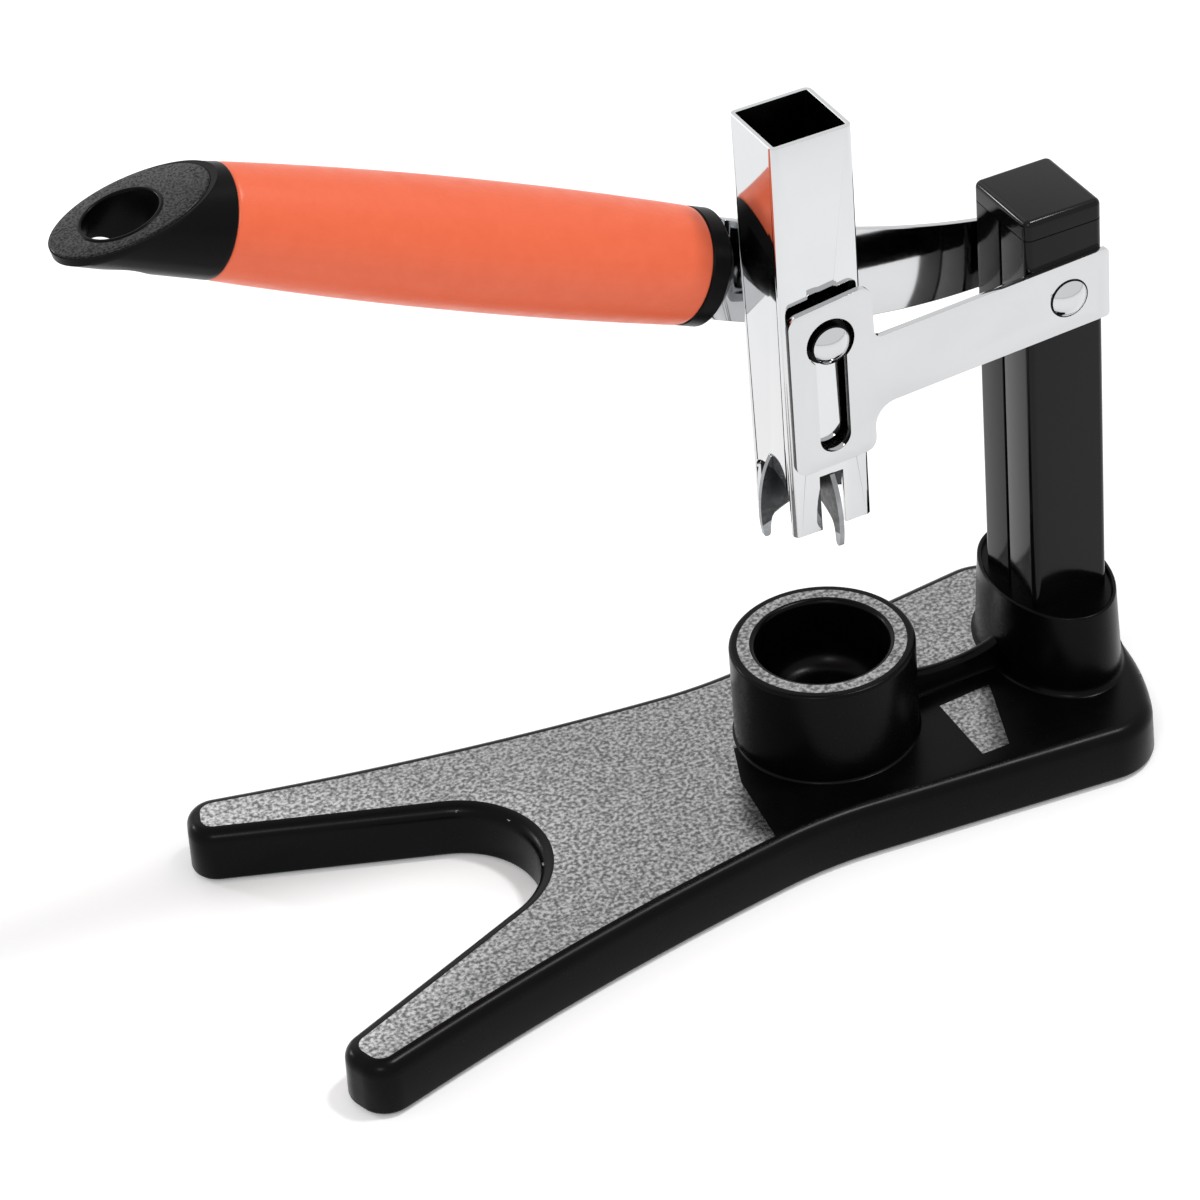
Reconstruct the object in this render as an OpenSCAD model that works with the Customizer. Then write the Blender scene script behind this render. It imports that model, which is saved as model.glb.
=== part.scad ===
// Chestnut opener: a handle works a square cutter tube down towards a cup on a forked stand.
// Millimetres, Z up. The stand rests on z = 0. X runs along the base, the fork points to -X,
// and the origin lies below the middle of the whole opener. The guide plate is on the -Y side.

/* [Stand] */
// Height of the handle's pivot above the surface the stand rests on
pivot_h = 120.4; // [114:0.2:128]
// Thickness of the base moulding, from its lower rim to its top face
base_t = 13.6; // [12:0.2:16]
// Wall thickness of the base moulding
base_wall = 2.6; // [2:0.1:3.2]
// Radius of the base's top edge
base_edge_r = 3.5; // [1.5:0.25:4]
// Distance from the post to the ends of the fork
fork_reach = 207; // [195:1:220]
// Width across the outsides of the fork at its ends
fork_w = 114; // [106:1:124]
// Width of one prong at its end
prong_w = 17; // [15:0.5:20]
// Distance from the post to the bottom of the fork's gap
crotch_x = 140; // [132:1:150]
// Radius of the bottom of the fork's gap
crotch_r = 21; // [17:0.5:23]
// Width of the base where the fork's curved sides are drawn in
shoulder_w = 79.5; // [76:0.5:84]
// Width of the base at its waist, beside the cup
waist_w = 64; // [60:0.5:68]
// Width of the base at its rear corners
tail_w = 82; // [76:0.5:88]
// Radius of the base's rear corners
tail_corner_r = 14; // [10:0.5:14]
// Slant of the base's rear edge to each side of its middle, in degrees
tail_slant = 25.8; // [20:0.1:26.4]
// Diameter of the rubber feet
foot_d = 12; // [9:0.5:12.5]
// Distance the rubber feet stand out below the base
foot_out = 0.8; // [0.4:0.1:1.6]

/* [Cup] */
// Distance from the post to the cutter tube and the cup below it
reach = 61; // [59:0.5:64]
// Outer diameter of the cup
cup_d = 44; // [42:0.5:46]
// Diameter of the cup's hollow at its rim
cup_bore = 31.5; // [28:0.5:35]
// Height of the cup above the base
cup_h = 25.3; // [22:0.1:28]
// Depth of the cup's hollow
cup_depth = 18; // [14:0.5:20]
// Thickness of the web between the cup and the collar
web_t = 3; // [2:0.25:5]
// Height of the web at its lowest point
web_h = 6; // [4:0.5:9]

/* [Post] */
// Size of the post along the base
post_x = 20; // [18:0.2:21]
// Size of the post across the base
post_y = 23.4; // [21:0.2:24]
// Wall thickness of the post
post_wall = 1.5; // [1:0.1:2]
// Radius of the post's upright edges
post_r = 1.8; // [1:0.1:2]
// Height of the post's top above the pivot
post_up = 22; // [19:0.5:26]
// Height of the cap's part that shows on the post
cap_h = 5; // [3:0.5:6]
// Size of the collar's rim along the base
collar_x = 28.4; // [27.6:0.2:28.6]
// Size of the collar's rim across the base
collar_y = 44; // [38:0.5:48]
// Height of the collar above the base
collar_h = 22; // [18:0.5:26]
// Height of the plug in the post's foot
plug_h = 14; // [10:1:18]
// Depth of the cap's part that plugs into the post
cap_plug = 8; // [6:0.5:12]

/* [Guide plate] */
// Thickness of the guide plate
guide_t = 1.5; // [1:0.1:2]
// Width of the guide plate's head
head_w = 21; // [19.5:0.5:22]
// Height of the head's middle above the pivot's level, at its top edge
head_up = 20.2; // [18.5:0.1:22]
// Depth of the head below the pivot's level
head_down = 23; // [22.6:0.1:25]
// Height of the guide plate's arm
arm_w = 18; // [15:0.1:19]
// Slope of the guide plate's arm, in degrees
arm_slope = 2.6; // [1.5:0.1:4]
// Radius of the round upper end of the guide slot
keyhole_r = 6; // [5.6:0.1:6.6]
// Gap between the guide plate and the cutter tube
tube_gap = 1.7; // [1.4:0.1:2.2]

/* [Lever] */
// Thickness of the lever plate
lever_t = 1.5; // [1:0.1:2]
// Height of the lever plate at the pivot
lever_h0 = 16.5; // [14:0.5:19]
// Height of the lever plate where it enters the handle
lever_h1 = 24.5; // [21:0.5:25.5]
// Radius of the lever plate's curve
lever_r = 180; // [170:1:190]
// Slope of the lever plate at the pivot, in degrees
lever_a0 = 2.5; // [0:0.1:4]
// Slope of the handle at rest, in degrees
handle_a = 24.4; // [22:0.1:26]
// Height of the drive pin above the pivot at rest
pin_rise = 9.5; // [8.5:0.1:10]
// Height of the tang that runs inside the handle
tang_h = 13.5; // [10:0.5:14]
// Length of the tang inside the handle
tang_l = 55; // [40:1:70]

/* [Handle] */
// Diameter of the grip at the ferrule
grip_d0 = 26.6; // [25.8:0.2:28]
// Diameter of the grip at its middle
grip_d1 = 28.6; // [27.4:0.2:30.4]
// Diameter of the grip at the end cap
grip_d2 = 24.8; // [23.8:0.2:26]
// Length of the grip
grip_l = 116.6; // [105:0.2:125]
// Length of the ferrule
ferrule_l = 10.3; // [9:0.1:12]
// Diameter of the core inside the grip
core_d = 16.5; // [16:0.5:18]
// Length of the end cap, from the grip to its tip
cap_l = 34.1; // [32:0.1:37]
// Slant of the end cap's oval face to the handle's axis, in degrees
cap_slant = 36; // [33:0.5:39]
// Length of the end cap's oval face
cap_face_l = 36.8; // [35:0.1:38.5]
// Diameter of the hole to hang the opener by
hang_d = 16.5; // [13:0.5:17]

/* [Cutter] */
// Outer width of the square cutter tube
tube_w = 20; // [18.5:0.5:21]
// Wall thickness of the cutter tube
tube_wall = 1.2; // [0.8:0.1:1.5]
// Radius of the cutter tube's upright edges
tube_r = 1.6; // [1:0.1:2.2]
// Length of the cutter tube
tube_l = 102.3; // [96:0.1:108]
// Height of the cutter tube's lower end below the pivot at rest
tube_down = 41.6; // [40:0.1:43]
// Thickness of the blades
blade_t = 1.2; // [0.9:0.1:1.4]
// Distance from the tube's axis to the widest part of a blade
blade_reach = 13.9; // [13:0.1:14.5]
// Distance the blades' points stand out below the tube
blade_drop = 5.8; // [4.5:0.1:7]
// Width of the slots for the blades in the tube's near and far sides
slot_w = 5.9; // [4:0.1:7]
// Width of the openings in the tube's left and right sides
arch_w = 15.6; // [13:0.1:15.8]

/* [Pins] */
// Diameter of the pivot rivet
rivet_d = 6; // [5:0.1:6.5]
// Diameter of the drive pin
pin_d = 5; // [4:0.1:5.4]
// Diameter of the bush that runs in the guide slot
bush_d = 7.6; // [7:0.1:8]
// Diameter of the domed heads
head_d = 8.9; // [8.6:0.1:10]
// Height of the domed heads
head_h = 2.2; // [1.6:0.1:2.6]
// Travel of the drive pin along the guide slot
travel = 24.2; // [20:0.1:24.6]
// Radial clearance of a pin or bush in the hole it turns or slides in
run_gap = 0.08; // [0.04:0.01:0.1]
// Gap between flat faces that slide past each other
face_gap = 0.2; // [0.1:0.05:0.3]
// Clearance around pieces that are fitted and stay in place
fit_gap = 0.1; // [0.05:0.01:0.15]

/* [Hidden] */
$fn = 64;
eps = 0.01;

// Heights above the floor
rim_z = foot_out;
top_z = rim_z + base_t;
cup_z = top_z + cup_h;
collar_z = top_z + collar_h;
pocket_z = rim_z + 6;

// Positions across the stand, on Y
post_side = post_y / 2;
guide_back = -tube_w / 2 - tube_gap;
guide_front = guide_back - guide_t;
washer_t = 1.6;
lever_in = post_side + washer_t + face_gap / 2;
lever_out = lever_in + lever_t;
lever_mid = lever_in + lever_t / 2;

// The handle's own frame: s runs along its axis from the end of the lever plate's curve
lever_x1 = lever_r * (sin(handle_a) - sin(lever_a0));
lever_z1 = lever_r * (cos(lever_a0) - cos(handle_a));
ferrule_s = (reach + tube_w / 2 + 0.8 - lever_x1) / cos(handle_a) + 2;
grip_s = ferrule_s + ferrule_l;
cap_s = grip_s + grip_l;
tip_s = cap_s + cap_l;
seat_s = ferrule_s + 4.5;

// The end cap's oval face, in the handle's frame: along the axis, and up from it
face_b = grip_d2 / 2 - 0.4;
face_t = 2.2;
face_mid_s = tip_s - cap_face_l / 2 * cos(cap_slant);
face_tip_v = -grip_d2 / 2 + 2.3;
face_mid_v = face_tip_v + cap_face_l / 2 * sin(cap_slant);
hang_s = face_mid_s + 1.7;

// The handle's tip and the base's rear corners, measured from the pivot
tip_x = lever_x1 + tip_s * cos(handle_a) - face_tip_v * sin(handle_a);
tail_x = 5.6;

// Pins
bush_r = bush_d / 2;
slot_r = bush_r + run_gap;
slot_end = pin_rise - travel - 0.35;
pin_a = atan2(pin_rise, reach);
blade_top = 19.6;
blade_arch = 4.6;

// One rounded corner b of a path that comes from a and goes on to c. The path runs anticlockwise
// round its solid, inset moves the line into the solid, and n is the number of steps.
function unit(v) = v / norm(v);
function turn_at(a, b, c) =
  let (u = unit(b - a), v = unit(c - b))
  atan2(u.x * v.y - u.y * v.x, u * v);
function corner(a, b, c, r, inset, n) =
  let (
    u = unit(b - a),
    t = turn_at(a, b, c),
    side = sign(t),
    start = b - u * r * tan(abs(t) / 2),
    centre = start + side * r * [-u.y, u.x],
    a0 = atan2(start.y - centre.y, start.x - centre.x)
  )
  [for (k = [0:n]) centre + (r - side * inset) * [cos(a0 + t * k / n), sin(a0 + t * k / n)]];

// A closed outline with each corner rounded: corners holds [point, radius, steps]
function outline(corners, inset = 0) =
  let (m = len(corners))
  [for (i = [0:m - 1])
    each corner(
      corners[(i + m - 1) % m][0], corners[i][0], corners[(i + 1) % m][0],
      corners[i][1], inset, corners[i][2])];

// A rectangle about the origin with rounded corners
function round_rect(w, d, r, inset = 0, n = 4) =
  outline([
    [[-w / 2, -d / 2], r, n],
    [[w / 2, -d / 2], r, n],
    [[w / 2, d / 2], r, n],
    [[-w / 2, d / 2], r, n]
  ], inset);

// A point of a cubic curve from a to d, drawn towards b and c
function curve(a, b, c, d, t) =
  a * pow(1 - t, 3) + b * 3 * t * pow(1 - t, 2) + c * 3 * t * t * (1 - t) + d * pow(t, 3);

// A closed skin through rings of points, from the lowest ring to the highest
module skin(rings) {
  n = len(rings[0]);
  m = len(rings);
  polyhedron(
    points = [for (ring = rings) each ring],
    faces = concat(
      [[for (i = [0:n - 1]) i]],
      [for (k = [0:m - 2], i = [0:n - 1])
        each [
          [k * n + i, (k + 1) * n + i, (k + 1) * n + (i + 1) % n],
          [k * n + i, (k + 1) * n + (i + 1) % n, k * n + (i + 1) % n]
        ]],
      [[for (i = [n - 1:-1:0]) (m - 1) * n + i]]
    ));
}

// A closed band through rings of points: up its outside, over, and down its inside
module band(rings) {
  n = len(rings[0]);
  m = len(rings);
  polyhedron(
    points = [for (ring = rings) each ring],
    faces = [for (k = [0:m - 1], i = [0:n - 1])
      let (a = k * n, b = (k + 1) % m * n, j = (i + 1) % n)
      each [[a + i, b + i, b + j], [a + i, b + j, a + j]]]);
}

// A flat outline lifted to one height
function lift(points, z) = [for (p = points) [p.x, p.y, z]];

// The base's outline about the post's axis, from the fork's gap round the far side to the rear.
// The fork's sides are straight lines, and the gap's round bottom and the long curve of the
// base's sides take up what their neighbours leave.
prong_out = [-fork_reach + 2.9, fork_w / 2];
prong_a = 18.5;
prong_in = prong_out - prong_w * 0.925 * [sin(prong_a), cos(prong_a)];
crotch_mid = [-crotch_x - crotch_r, 0];
crotch_dist = norm(prong_in - crotch_mid);
crotch_a = atan2(prong_in.y, prong_in.x - crotch_mid.x) + asin(crotch_r / crotch_dist) - 180;
crotch_point = [prong_in.x + prong_in.y / tan(-crotch_a), 0];
prong_r = min(7, prong_w * 0.42);
shoulder = [-140, shoulder_w / 2];
waist = [-reach - 17, waist_w / 2];
waist_r = 100;
tail = [tail_x, tail_w / 2];
tail_point = [tail_x + tail_w / 2 * tan(tail_slant), 0];
prong_t = turn_at(shoulder, prong_out, prong_in);
shoulder_t = turn_at(prong_out, shoulder, waist);
waist_t = turn_at(shoulder, waist, tail);
tail_t = turn_at(waist, tail, tail_point);
shoulder_len = min(
  norm(prong_out - shoulder) - prong_r * tan(abs(prong_t) / 2) - 0.1,
  norm(shoulder - waist) - waist_r * tan(abs(waist_t) / 2) - 1);
shoulder_r = shoulder_len / tan(abs(shoulder_t) / 2);
tail_len = norm(tail - tail_point) - tail_corner_r * tan(abs(tail_t) / 2) - 0.1;
tail_r = tail_len / tan(tail_slant);
tail_out = tail_point.x - tail_r * (1 / cos(tail_slant) - 1);

function mirror_y(p) = [p.x, -p.y];
BASE = [
  [tail_point, tail_r, 8],
  [tail, tail_corner_r, 6],
  [waist, waist_r, 4],
  [shoulder, shoulder_r, 6],
  [prong_out, prong_r, 6],
  [prong_in, prong_r, 6],
  [crotch_point, crotch_r, 16],
  [mirror_y(prong_in), prong_r, 6],
  [mirror_y(prong_out), prong_r, 6],
  [mirror_y(shoulder), shoulder_r, 6],
  [mirror_y(waist), waist_r, 4],
  [mirror_y(tail), tail_corner_r, 6]
];

// Places: below the pivot, at the pivot, on the cutter tube's axis at the pivot's level, and the
// handle's frame with its axis on Z and its upper side on X
origin_x = (tip_x - tail_out) / 2;
module at_post() {
  translate([origin_x, 0, 0]) children();
}
module at_cutter() {
  translate([origin_x - reach, 0, pivot_h]) children();
}
module at_pivot() {
  translate([origin_x, 0, pivot_h]) children();
}
module at_handle() {
  at_pivot()
    translate([-lever_x1, lever_mid, lever_z1])
      rotate([0, handle_a - 90, 0])
        children();
}

// A plate with its outline in X and Z, from y0 to y1
module plate_xz(y0, y1) {
  translate([0, y1, 0])
    rotate([90, 0, 0])
      linear_extrude(y1 - y0)
        children();
}

// A round rod along Y, from y0 to y1
module rod(d, y0, y1) {
  translate([0, y1, 0])
    rotate([90, 0, 0])
      cylinder(d = d, h = y1 - y0);
}

// A shallow dome on Z = 0
module dome(d, h) {
  r = (d * d / 4 + h * h) / (2 * h);
  intersection() {
    translate([0, 0, h - r])
      sphere(r);
    cylinder(d = d, h = h);
  }
}

// The base: one moulding with the forked plate, the cup, the collar and the web between them
module cup_profile() {
  foot = 1.5;
  lip = 0.9;
  r = cup_d / 2;
  b = cup_bore / 2;
  floor_z = cup_z - cup_depth;
  bowl = 5;
  polygon(concat(
    [[0, top_z - 2], [r + foot + 0.1, top_z - 2], [r + foot + 0.1, top_z - 0.2]],
    [for (a = [15:15:90]) [r + foot - foot * sin(a), top_z + foot - foot * cos(a)]],
    [for (a = [0:22.5:90]) [r - lip + lip * cos(a), cup_z - lip + lip * sin(a)]],
    [for (a = [90:22.5:180]) [b + lip + lip * cos(a), cup_z - lip + lip * sin(a)]],
    [for (a = [0:15:90]) [b - 0.6 - bowl + bowl * cos(a), floor_z + bowl - bowl * sin(a)]],
    [[0, floor_z]]
  ));
}

// The collar: an oval sleeve that widens towards the base, with a thin lip round its rim
function oval(grow, z) =
  [for (a = [0:7.5:352.5])
    [(collar_x / 2 + grow) * cos(a), (collar_y / 2 + grow) * sin(a), z]];

module collar() {
  flare = 1;
  foot = 1.2;
  lip = 0.55;
  skin(concat(
    [oval(flare + foot + 0.1, top_z - 3), oval(flare + foot, top_z - 0.3)],
    [for (a = [30:30:90]) oval(flare + foot * (1 - sin(a)), top_z + foot * (1 - cos(a)) * 2)],
    [for (a = [0:30:90]) oval(lip * (cos(a) - 1), collar_z - lip + lip * sin(a))],
    [oval(-2 * lip, collar_z - lip), oval(-2 * lip - 0.2, collar_z - 1.2)]
  ));
}

module web() {
  x0 = -reach + cup_d / 2 - 1;
  x1 = -collar_x / 2;
  plate_xz(-web_t / 2, web_t / 2)
    polygon(concat(
      [[x0, top_z - 1], [x1, top_z - 1]],
      [for (k = [10:-1:0])
        let (p = curve([x0, web_h + 2], [x0 + 7, web_h - 1], [x1 - 6, web_h - 1], [x1, web_h + 4.5],
          k / 10))
        [p.x, top_z + p.y]]
    ));
}

FEET = [
  [-fork_reach + 16, fork_w / 2 - 11.8],
  [tail_x - 12, tail_w / 2 - 13]
];
boss_d = foot_d + 4;
boss_z = rim_z + 0.25;
seat_h = 1.6;

module base_ribs() {
  w = 2;
  for (y = [-20, 0, 20])
    translate([-fork_reach, y - w / 2, rim_z + 1])
      cube([fork_reach + 40, w, base_t - 2]);
  for (x = [-178:19:12])
    translate([x - w / 2, -fork_w / 2, rim_z + 1])
      cube([w, fork_w, base_t - 2]);
  for (f = FEET, side = [-1, 1])
    translate([f.x, side * f.y, boss_z])
      cylinder(d = boss_d, h = base_t - 1.5);
  translate([0, 0, boss_z])
    linear_extrude(base_t - 1.5)
      polygon([for (p = oval(0, 0)) [p.x, p.y]]);
}

module base() {
  draft = 0.3;
  r = base_edge_r;
  hollow = base_wall + 0.2;
  inner = 5;
  color([0.09, 0.09, 0.1])
    at_post()
      difference() {
        union() {
          band(concat(
            [lift(outline(BASE, 0.8), rim_z), lift(outline(BASE), rim_z + 0.8)],
            [for (a = [0:22.5:90])
              lift(outline(BASE, draft + r * (1 - cos(a))), top_z - r + r * sin(a))],
            [lift(outline(BASE, inner), top_z), lift(outline(BASE, inner), top_z - base_wall)],
            [lift(outline(BASE, hollow), top_z - base_wall), lift(outline(BASE, hollow), rim_z)]
          ));
          translate([0, 0, top_z - base_wall])
            linear_extrude(base_wall)
              polygon(outline(BASE, inner));
          intersection() {
            translate([0, 0, rim_z])
              linear_extrude(base_t)
                polygon(outline(BASE, hollow - 1));
            base_ribs();
          }
          translate([-reach, 0, 0])
            rotate_extrude()
              cup_profile();
          collar();
          web();
        }
        translate([-reach, 0, rim_z - 1])
          cylinder(r = cup_bore / 2 - 4.6, h = cup_z - cup_depth - base_wall - rim_z + 1);
        translate([-post_x / 2 - fit_gap, -post_side - fit_gap, pocket_z])
          cube([post_x + 2 * fit_gap, post_y + 2 * fit_gap, collar_z]);
        translate([0, 0, rim_z - 1])
          cylinder(d = screw_head_d + 0.8, h = pocket_z - 3 - rim_z + 1);
        translate([0, 0, rim_z])
          cylinder(d = screw_d + 0.4, h = pocket_z);
        for (f = FEET, side = [-1, 1])
          translate([f.x, side * f.y, rim_z - 1])
            cylinder(d = foot_d + 2 * fit_gap, h = seat_h + 1);
      }
}

// A rubber foot, seated in its round boss below the base
module foot(f, side) {
  edge = 0.4;
  color([0.13, 0.13, 0.13])
    at_post()
      translate([f.x, side * f.y, 0])
        rotate_extrude()
          polygon([
            [0, 0], [foot_d / 2 - edge, 0], [foot_d / 2, edge],
            [foot_d / 2, rim_z + seat_h], [0, rim_z + seat_h]
          ]);
}
module foot_prong_near() {
  foot(FEET[0], -1);
}
module foot_prong_far() {
  foot(FEET[0], 1);
}
module foot_tail_near() {
  foot(FEET[1], -1);
}
module foot_tail_far() {
  foot(FEET[1], 1);
}

// The post: a folded tube with its seam on the side towards the cup
post_top = pivot_h + post_up - cap_h;
module post() {
  seam = 0.8;
  color([0.07, 0.07, 0.08])
    at_post()
      difference() {
        translate([0, 0, pocket_z])
          linear_extrude(post_top - pocket_z)
            polygon(round_rect(post_x, post_y, post_r));
        translate([0, 0, pocket_z - 1])
          linear_extrude(post_top - pocket_z + 2)
            polygon(round_rect(post_x, post_y, post_r, post_wall));
        translate([-post_x / 2 - 1, -seam / 2, pocket_z - 1])
          cube([1 + post_wall * 0.6, seam, post_top - pocket_z + 2]);
        translate([0, 0, pivot_h])
          rod(rivet_d + 2 * run_gap, -post_y, post_y);
      }
}

// The cap closes the post's top and plugs into it
module post_cap() {
  r = 1.5;
  color([0.07, 0.07, 0.08])
    at_post()
      union() {
        skin(concat(
          [lift(round_rect(post_x, post_y, post_r), post_top)],
          [for (a = [0:22.5:90])
            lift(round_rect(post_x, post_y, post_r, r * (1 - cos(a))),
              post_top + cap_h - r + r * sin(a))]
        ));
        translate([0, 0, post_top - cap_plug])
          linear_extrude(cap_plug + 0.5)
            polygon(round_rect(post_x, post_y, post_r, post_wall + fit_gap));
      }
}

// The plug in the post's foot takes the screw that holds the post down from below
screw_d = 4.8;
screw_head_d = 9;
module post_plug() {
  color([0.75, 0.75, 0.76])
    at_post()
      difference() {
        translate([0, 0, pocket_z])
          linear_extrude(plug_h)
            polygon(round_rect(post_x, post_y, post_r, post_wall + fit_gap));
        translate([0, 0, pocket_z - 1])
          cylinder(d = screw_d + fit_gap, h = plug_h + 2);
      }
}

module post_screw() {
  head_z = pocket_z - 3;
  color([0.75, 0.75, 0.76])
    at_post()
      difference() {
        union() {
          translate([0, 0, head_z])
            rotate([180, 0, 0])
              dome(screw_head_d, 2.2);
          translate([0, 0, head_z - 0.1])
            cylinder(d = screw_d, h = plug_h);
        }
        for (a = [0, 90])
          rotate([0, 0, a])
            translate([-2.2, -0.5, head_z - 3])
              cube([4.4, 1, 2]);
      }
}

// The guide plate: an arm riveted to the post, with a keyhole slot in its head for the drive pin.
// It ends flush with the post, and the rivet clamps it there.
arm_end = post_x / 2 + 0.6;
function arm_z(x, side) = side * arm_w / 2 + 0.3 - x * -tan(arm_slope) * 0.97;
GUIDE = [
  [[-reach - head_w / 2 + 0.3, -head_down], 3, 4],
  [[-reach + head_w / 2 - 0.2, -head_down + 1], 3, 4],
  [[-reach + head_w / 2 - 0.2, arm_z(-reach + head_w / 2, -1)], 5.5, 6],
  [[arm_end, arm_z(arm_end, -1)], 1, 2],
  [[arm_end, arm_z(arm_end, 1)], 1, 2],
  [[-reach + head_w / 2 + 0.5, arm_z(-reach + head_w / 2, 1)], 2, 4],
  [[-reach + head_w / 2 + 0.3, head_up + 1.2], 3, 4],
  [[-reach - head_w / 2 + 0.3, head_up - 1.2], 3, 4]
];

module guide_plate() {
  color([0.8, 0.8, 0.82])
    at_pivot()
      difference() {
        plate_xz(guide_front, guide_back)
          polygon(outline(GUIDE));
        rod(rivet_d + 2 * run_gap, guide_front - 1, guide_back + 1);
        translate([-reach, 0, pin_rise + 0.5])
          rod(2 * keyhole_r, guide_front - 1, guide_back + 1);
        translate([-reach, 0, slot_end])
          rod(2 * slot_r, guide_front - 1, guide_back + 1);
        translate([-reach - slot_r, guide_front - 1, slot_end])
          cube([2 * slot_r, guide_t + 2, pin_rise + 0.5 - slot_end]);
      }
}

// The pivot rivet holds the guide plate to the post and carries the lever plate behind it
module pivot_rivet() {
  color([0.8, 0.8, 0.82])
    at_pivot() {
      translate([0, guide_front, 0])
        rotate([90, 0, 0])
          dome(head_d, head_h);
      rod(rivet_d, guide_front - eps, lever_out + face_gap / 2 + eps);
      translate([0, lever_out + face_gap / 2, 0])
        rotate([-90, 0, 0])
          dome(head_d, head_h - 0.4);
    }
}

module pivot_washer() {
  color([0.8, 0.8, 0.82])
    at_pivot()
      difference() {
        rod(lever_h0 - 2.5, post_side, post_side + washer_t);
        rod(rivet_d + 2 * run_gap, post_side - 1, post_side + washer_t + 1);
      }
}

// The lever plate: curved along an arc from the pivot to the handle, wider towards the handle,
// and drawn in to a tang inside it
arm_steps = 10;
function lever_at(t, side) =
  let (
    a = lever_a0 + (handle_a - lever_a0) * t,
    h = (lever_h0 + (lever_h1 - lever_h0) * sin(90 * t)) / 2
  )
  [
    -lever_r * (sin(a) - sin(lever_a0)) + side * h * sin(a),
    lever_r * (cos(lever_a0) - cos(a)) + side * h * cos(a)
  ];
function handle_at(s, v) = [
  -lever_x1 - s * cos(handle_a) + v * sin(handle_a),
  lever_z1 + s * sin(handle_a) + v * cos(handle_a)
];

module lever_plate() {
  color([0.8, 0.8, 0.82])
    at_pivot()
      difference() {
        plate_xz(lever_in, lever_out)
          difference() {
            polygon(concat(
                [for (k = [1:arm_steps]) lever_at(k / arm_steps, 1)],
                [
                  handle_at(seat_s - fit_gap, lever_h1 / 2),
                  handle_at(seat_s - fit_gap, tang_h / 2),
                  handle_at(seat_s + tang_l, tang_h / 2),
                  handle_at(seat_s + tang_l, -tang_h / 2),
                  handle_at(seat_s - fit_gap, -tang_h / 2),
                  handle_at(seat_s - fit_gap, -lever_h1 / 2)
                ],
                [for (k = [arm_steps:-1:1]) lever_at(k / arm_steps, -1)],
                [for (k = [0:12])
                  let (a = -90 - lever_a0 + 15 * k)
                  lever_h0 / 2 * [cos(a), sin(a)]]
            ));
            circle(d = rivet_d + 2 * run_gap);
            translate([-reach, pin_rise])
              rotate(-pin_a) {
                translate([-1.7, 0])
                  circle(d = pin_d + 0.5);
                translate([0.95, 0])
                  circle(d = pin_d + 0.5);
                translate([-1.7, -pin_d / 2 - 0.25])
                  square([2.65, pin_d + 0.5]);
              }
          }
      }
}

// The handle's black core: the domed ferrule, and the rod inside the grip with the tang's slot
module handle_core() {
  r = grip_d0 / 2;
  color([0.08, 0.08, 0.09])
    at_handle()
      difference() {
        union() {
          rotate_extrude()
            polygon(concat(
              [[0, grip_s], [r, grip_s]],
              [for (k = [6:-1:0])
                curve([4.5, ferrule_s], [8, ferrule_s + 1.2], [r - 1.8, ferrule_s + 4],
                  [r, ferrule_s + 6], k / 6)],
              [[0, ferrule_s]]
            ));
          translate([0, 0, grip_s - 1])
            cylinder(d = core_d, h = grip_l + 8);
        }
        translate([-lever_h1, -lever_t / 2 - fit_gap, 0])
          cube([2 * lever_h1, lever_t + 2 * fit_gap, seat_s]);
        translate([-tang_h / 2 - fit_gap, -lever_t / 2 - fit_gap, seat_s - 1])
          cube([tang_h + 2 * fit_gap, lever_t + 2 * fit_gap, tang_l + 1.5]);
      }
}

// The grip: a barrelled sleeve on the core
grip_steps = 12;
function grip_r(t) =
  curve([grip_d0 / 2, 0], [grip_d1 / 2 + 0.55, 0], [grip_d1 / 2 + 0.35, 0], [grip_d2 / 2, 0], t).x;
module grip() {
  color([0.94, 0.42, 0.28])
    at_handle()
      rotate_extrude()
        polygon(concat(
          [[core_d / 2 + fit_gap, grip_s]],
          [for (k = [0:grip_steps]) [grip_r(k / grip_steps), grip_s + grip_l * k / grip_steps]],
          [[core_d / 2 + fit_gap, cap_s]]
        ));
}

// The end cap: drawn from the round end of the grip to a slanted oval face, with a round hole
module end_cap() {
  half = cap_face_l / 2;
  color([0.08, 0.08, 0.09])
    at_handle()
      difference() {
        union() {
          hull() {
            translate([0, 0, cap_s])
              cylinder(d = grip_d2, h = 3);
            translate([face_mid_v, 0, face_mid_s])
              rotate([0, 90 - cap_slant, 0])
                translate([0, 0, -face_t - 1.2])
                  scale([half - 1, face_b - 0.7, 1])
                    cylinder(r = 1, h = 1.2, $fn = 48);
          }
          hull() {
            translate([face_mid_v, 0, face_mid_s])
              rotate([0, 90 - cap_slant, 0]) {
                translate([0, 0, -face_t])
                  scale([half, face_b, 1])
                    cylinder(r = 1, h = face_t - 0.5, $fn = 48);
                translate([0, 0, -0.5])
                  scale([half - 0.5, face_b - 0.5, 1])
                    cylinder(r = 1, h = 0.5, $fn = 48);
              }
          }
        }
        translate([0, 0, cap_s - 1])
          cylinder(d = core_d + 2 * fit_gap, h = 8.2);
        translate([-cap_l, 0, hang_s])
          rotate([0, 90, 0])
            cylinder(d = hang_d, h = 2 * cap_l);
      }
}

// The cutter tube: open at both ends, with slots and arches for the blades at its lower end
module tube_arch() {
  w = arch_w / 2;
  polygon(concat(
    [[-w, -1], [w, -1]],
    [for (k = [0:6]) curve([w, 9.5], [w, 12.6], [w - 2.4, 13.6], [1.6, 13.9], k / 6)],
    [for (k = [6:-1:0]) curve([-w, 9.5], [-w, 12.6], [2.4 - w, 13.6], [-1.6, 13.9], k / 6)]
  ));
}

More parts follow.
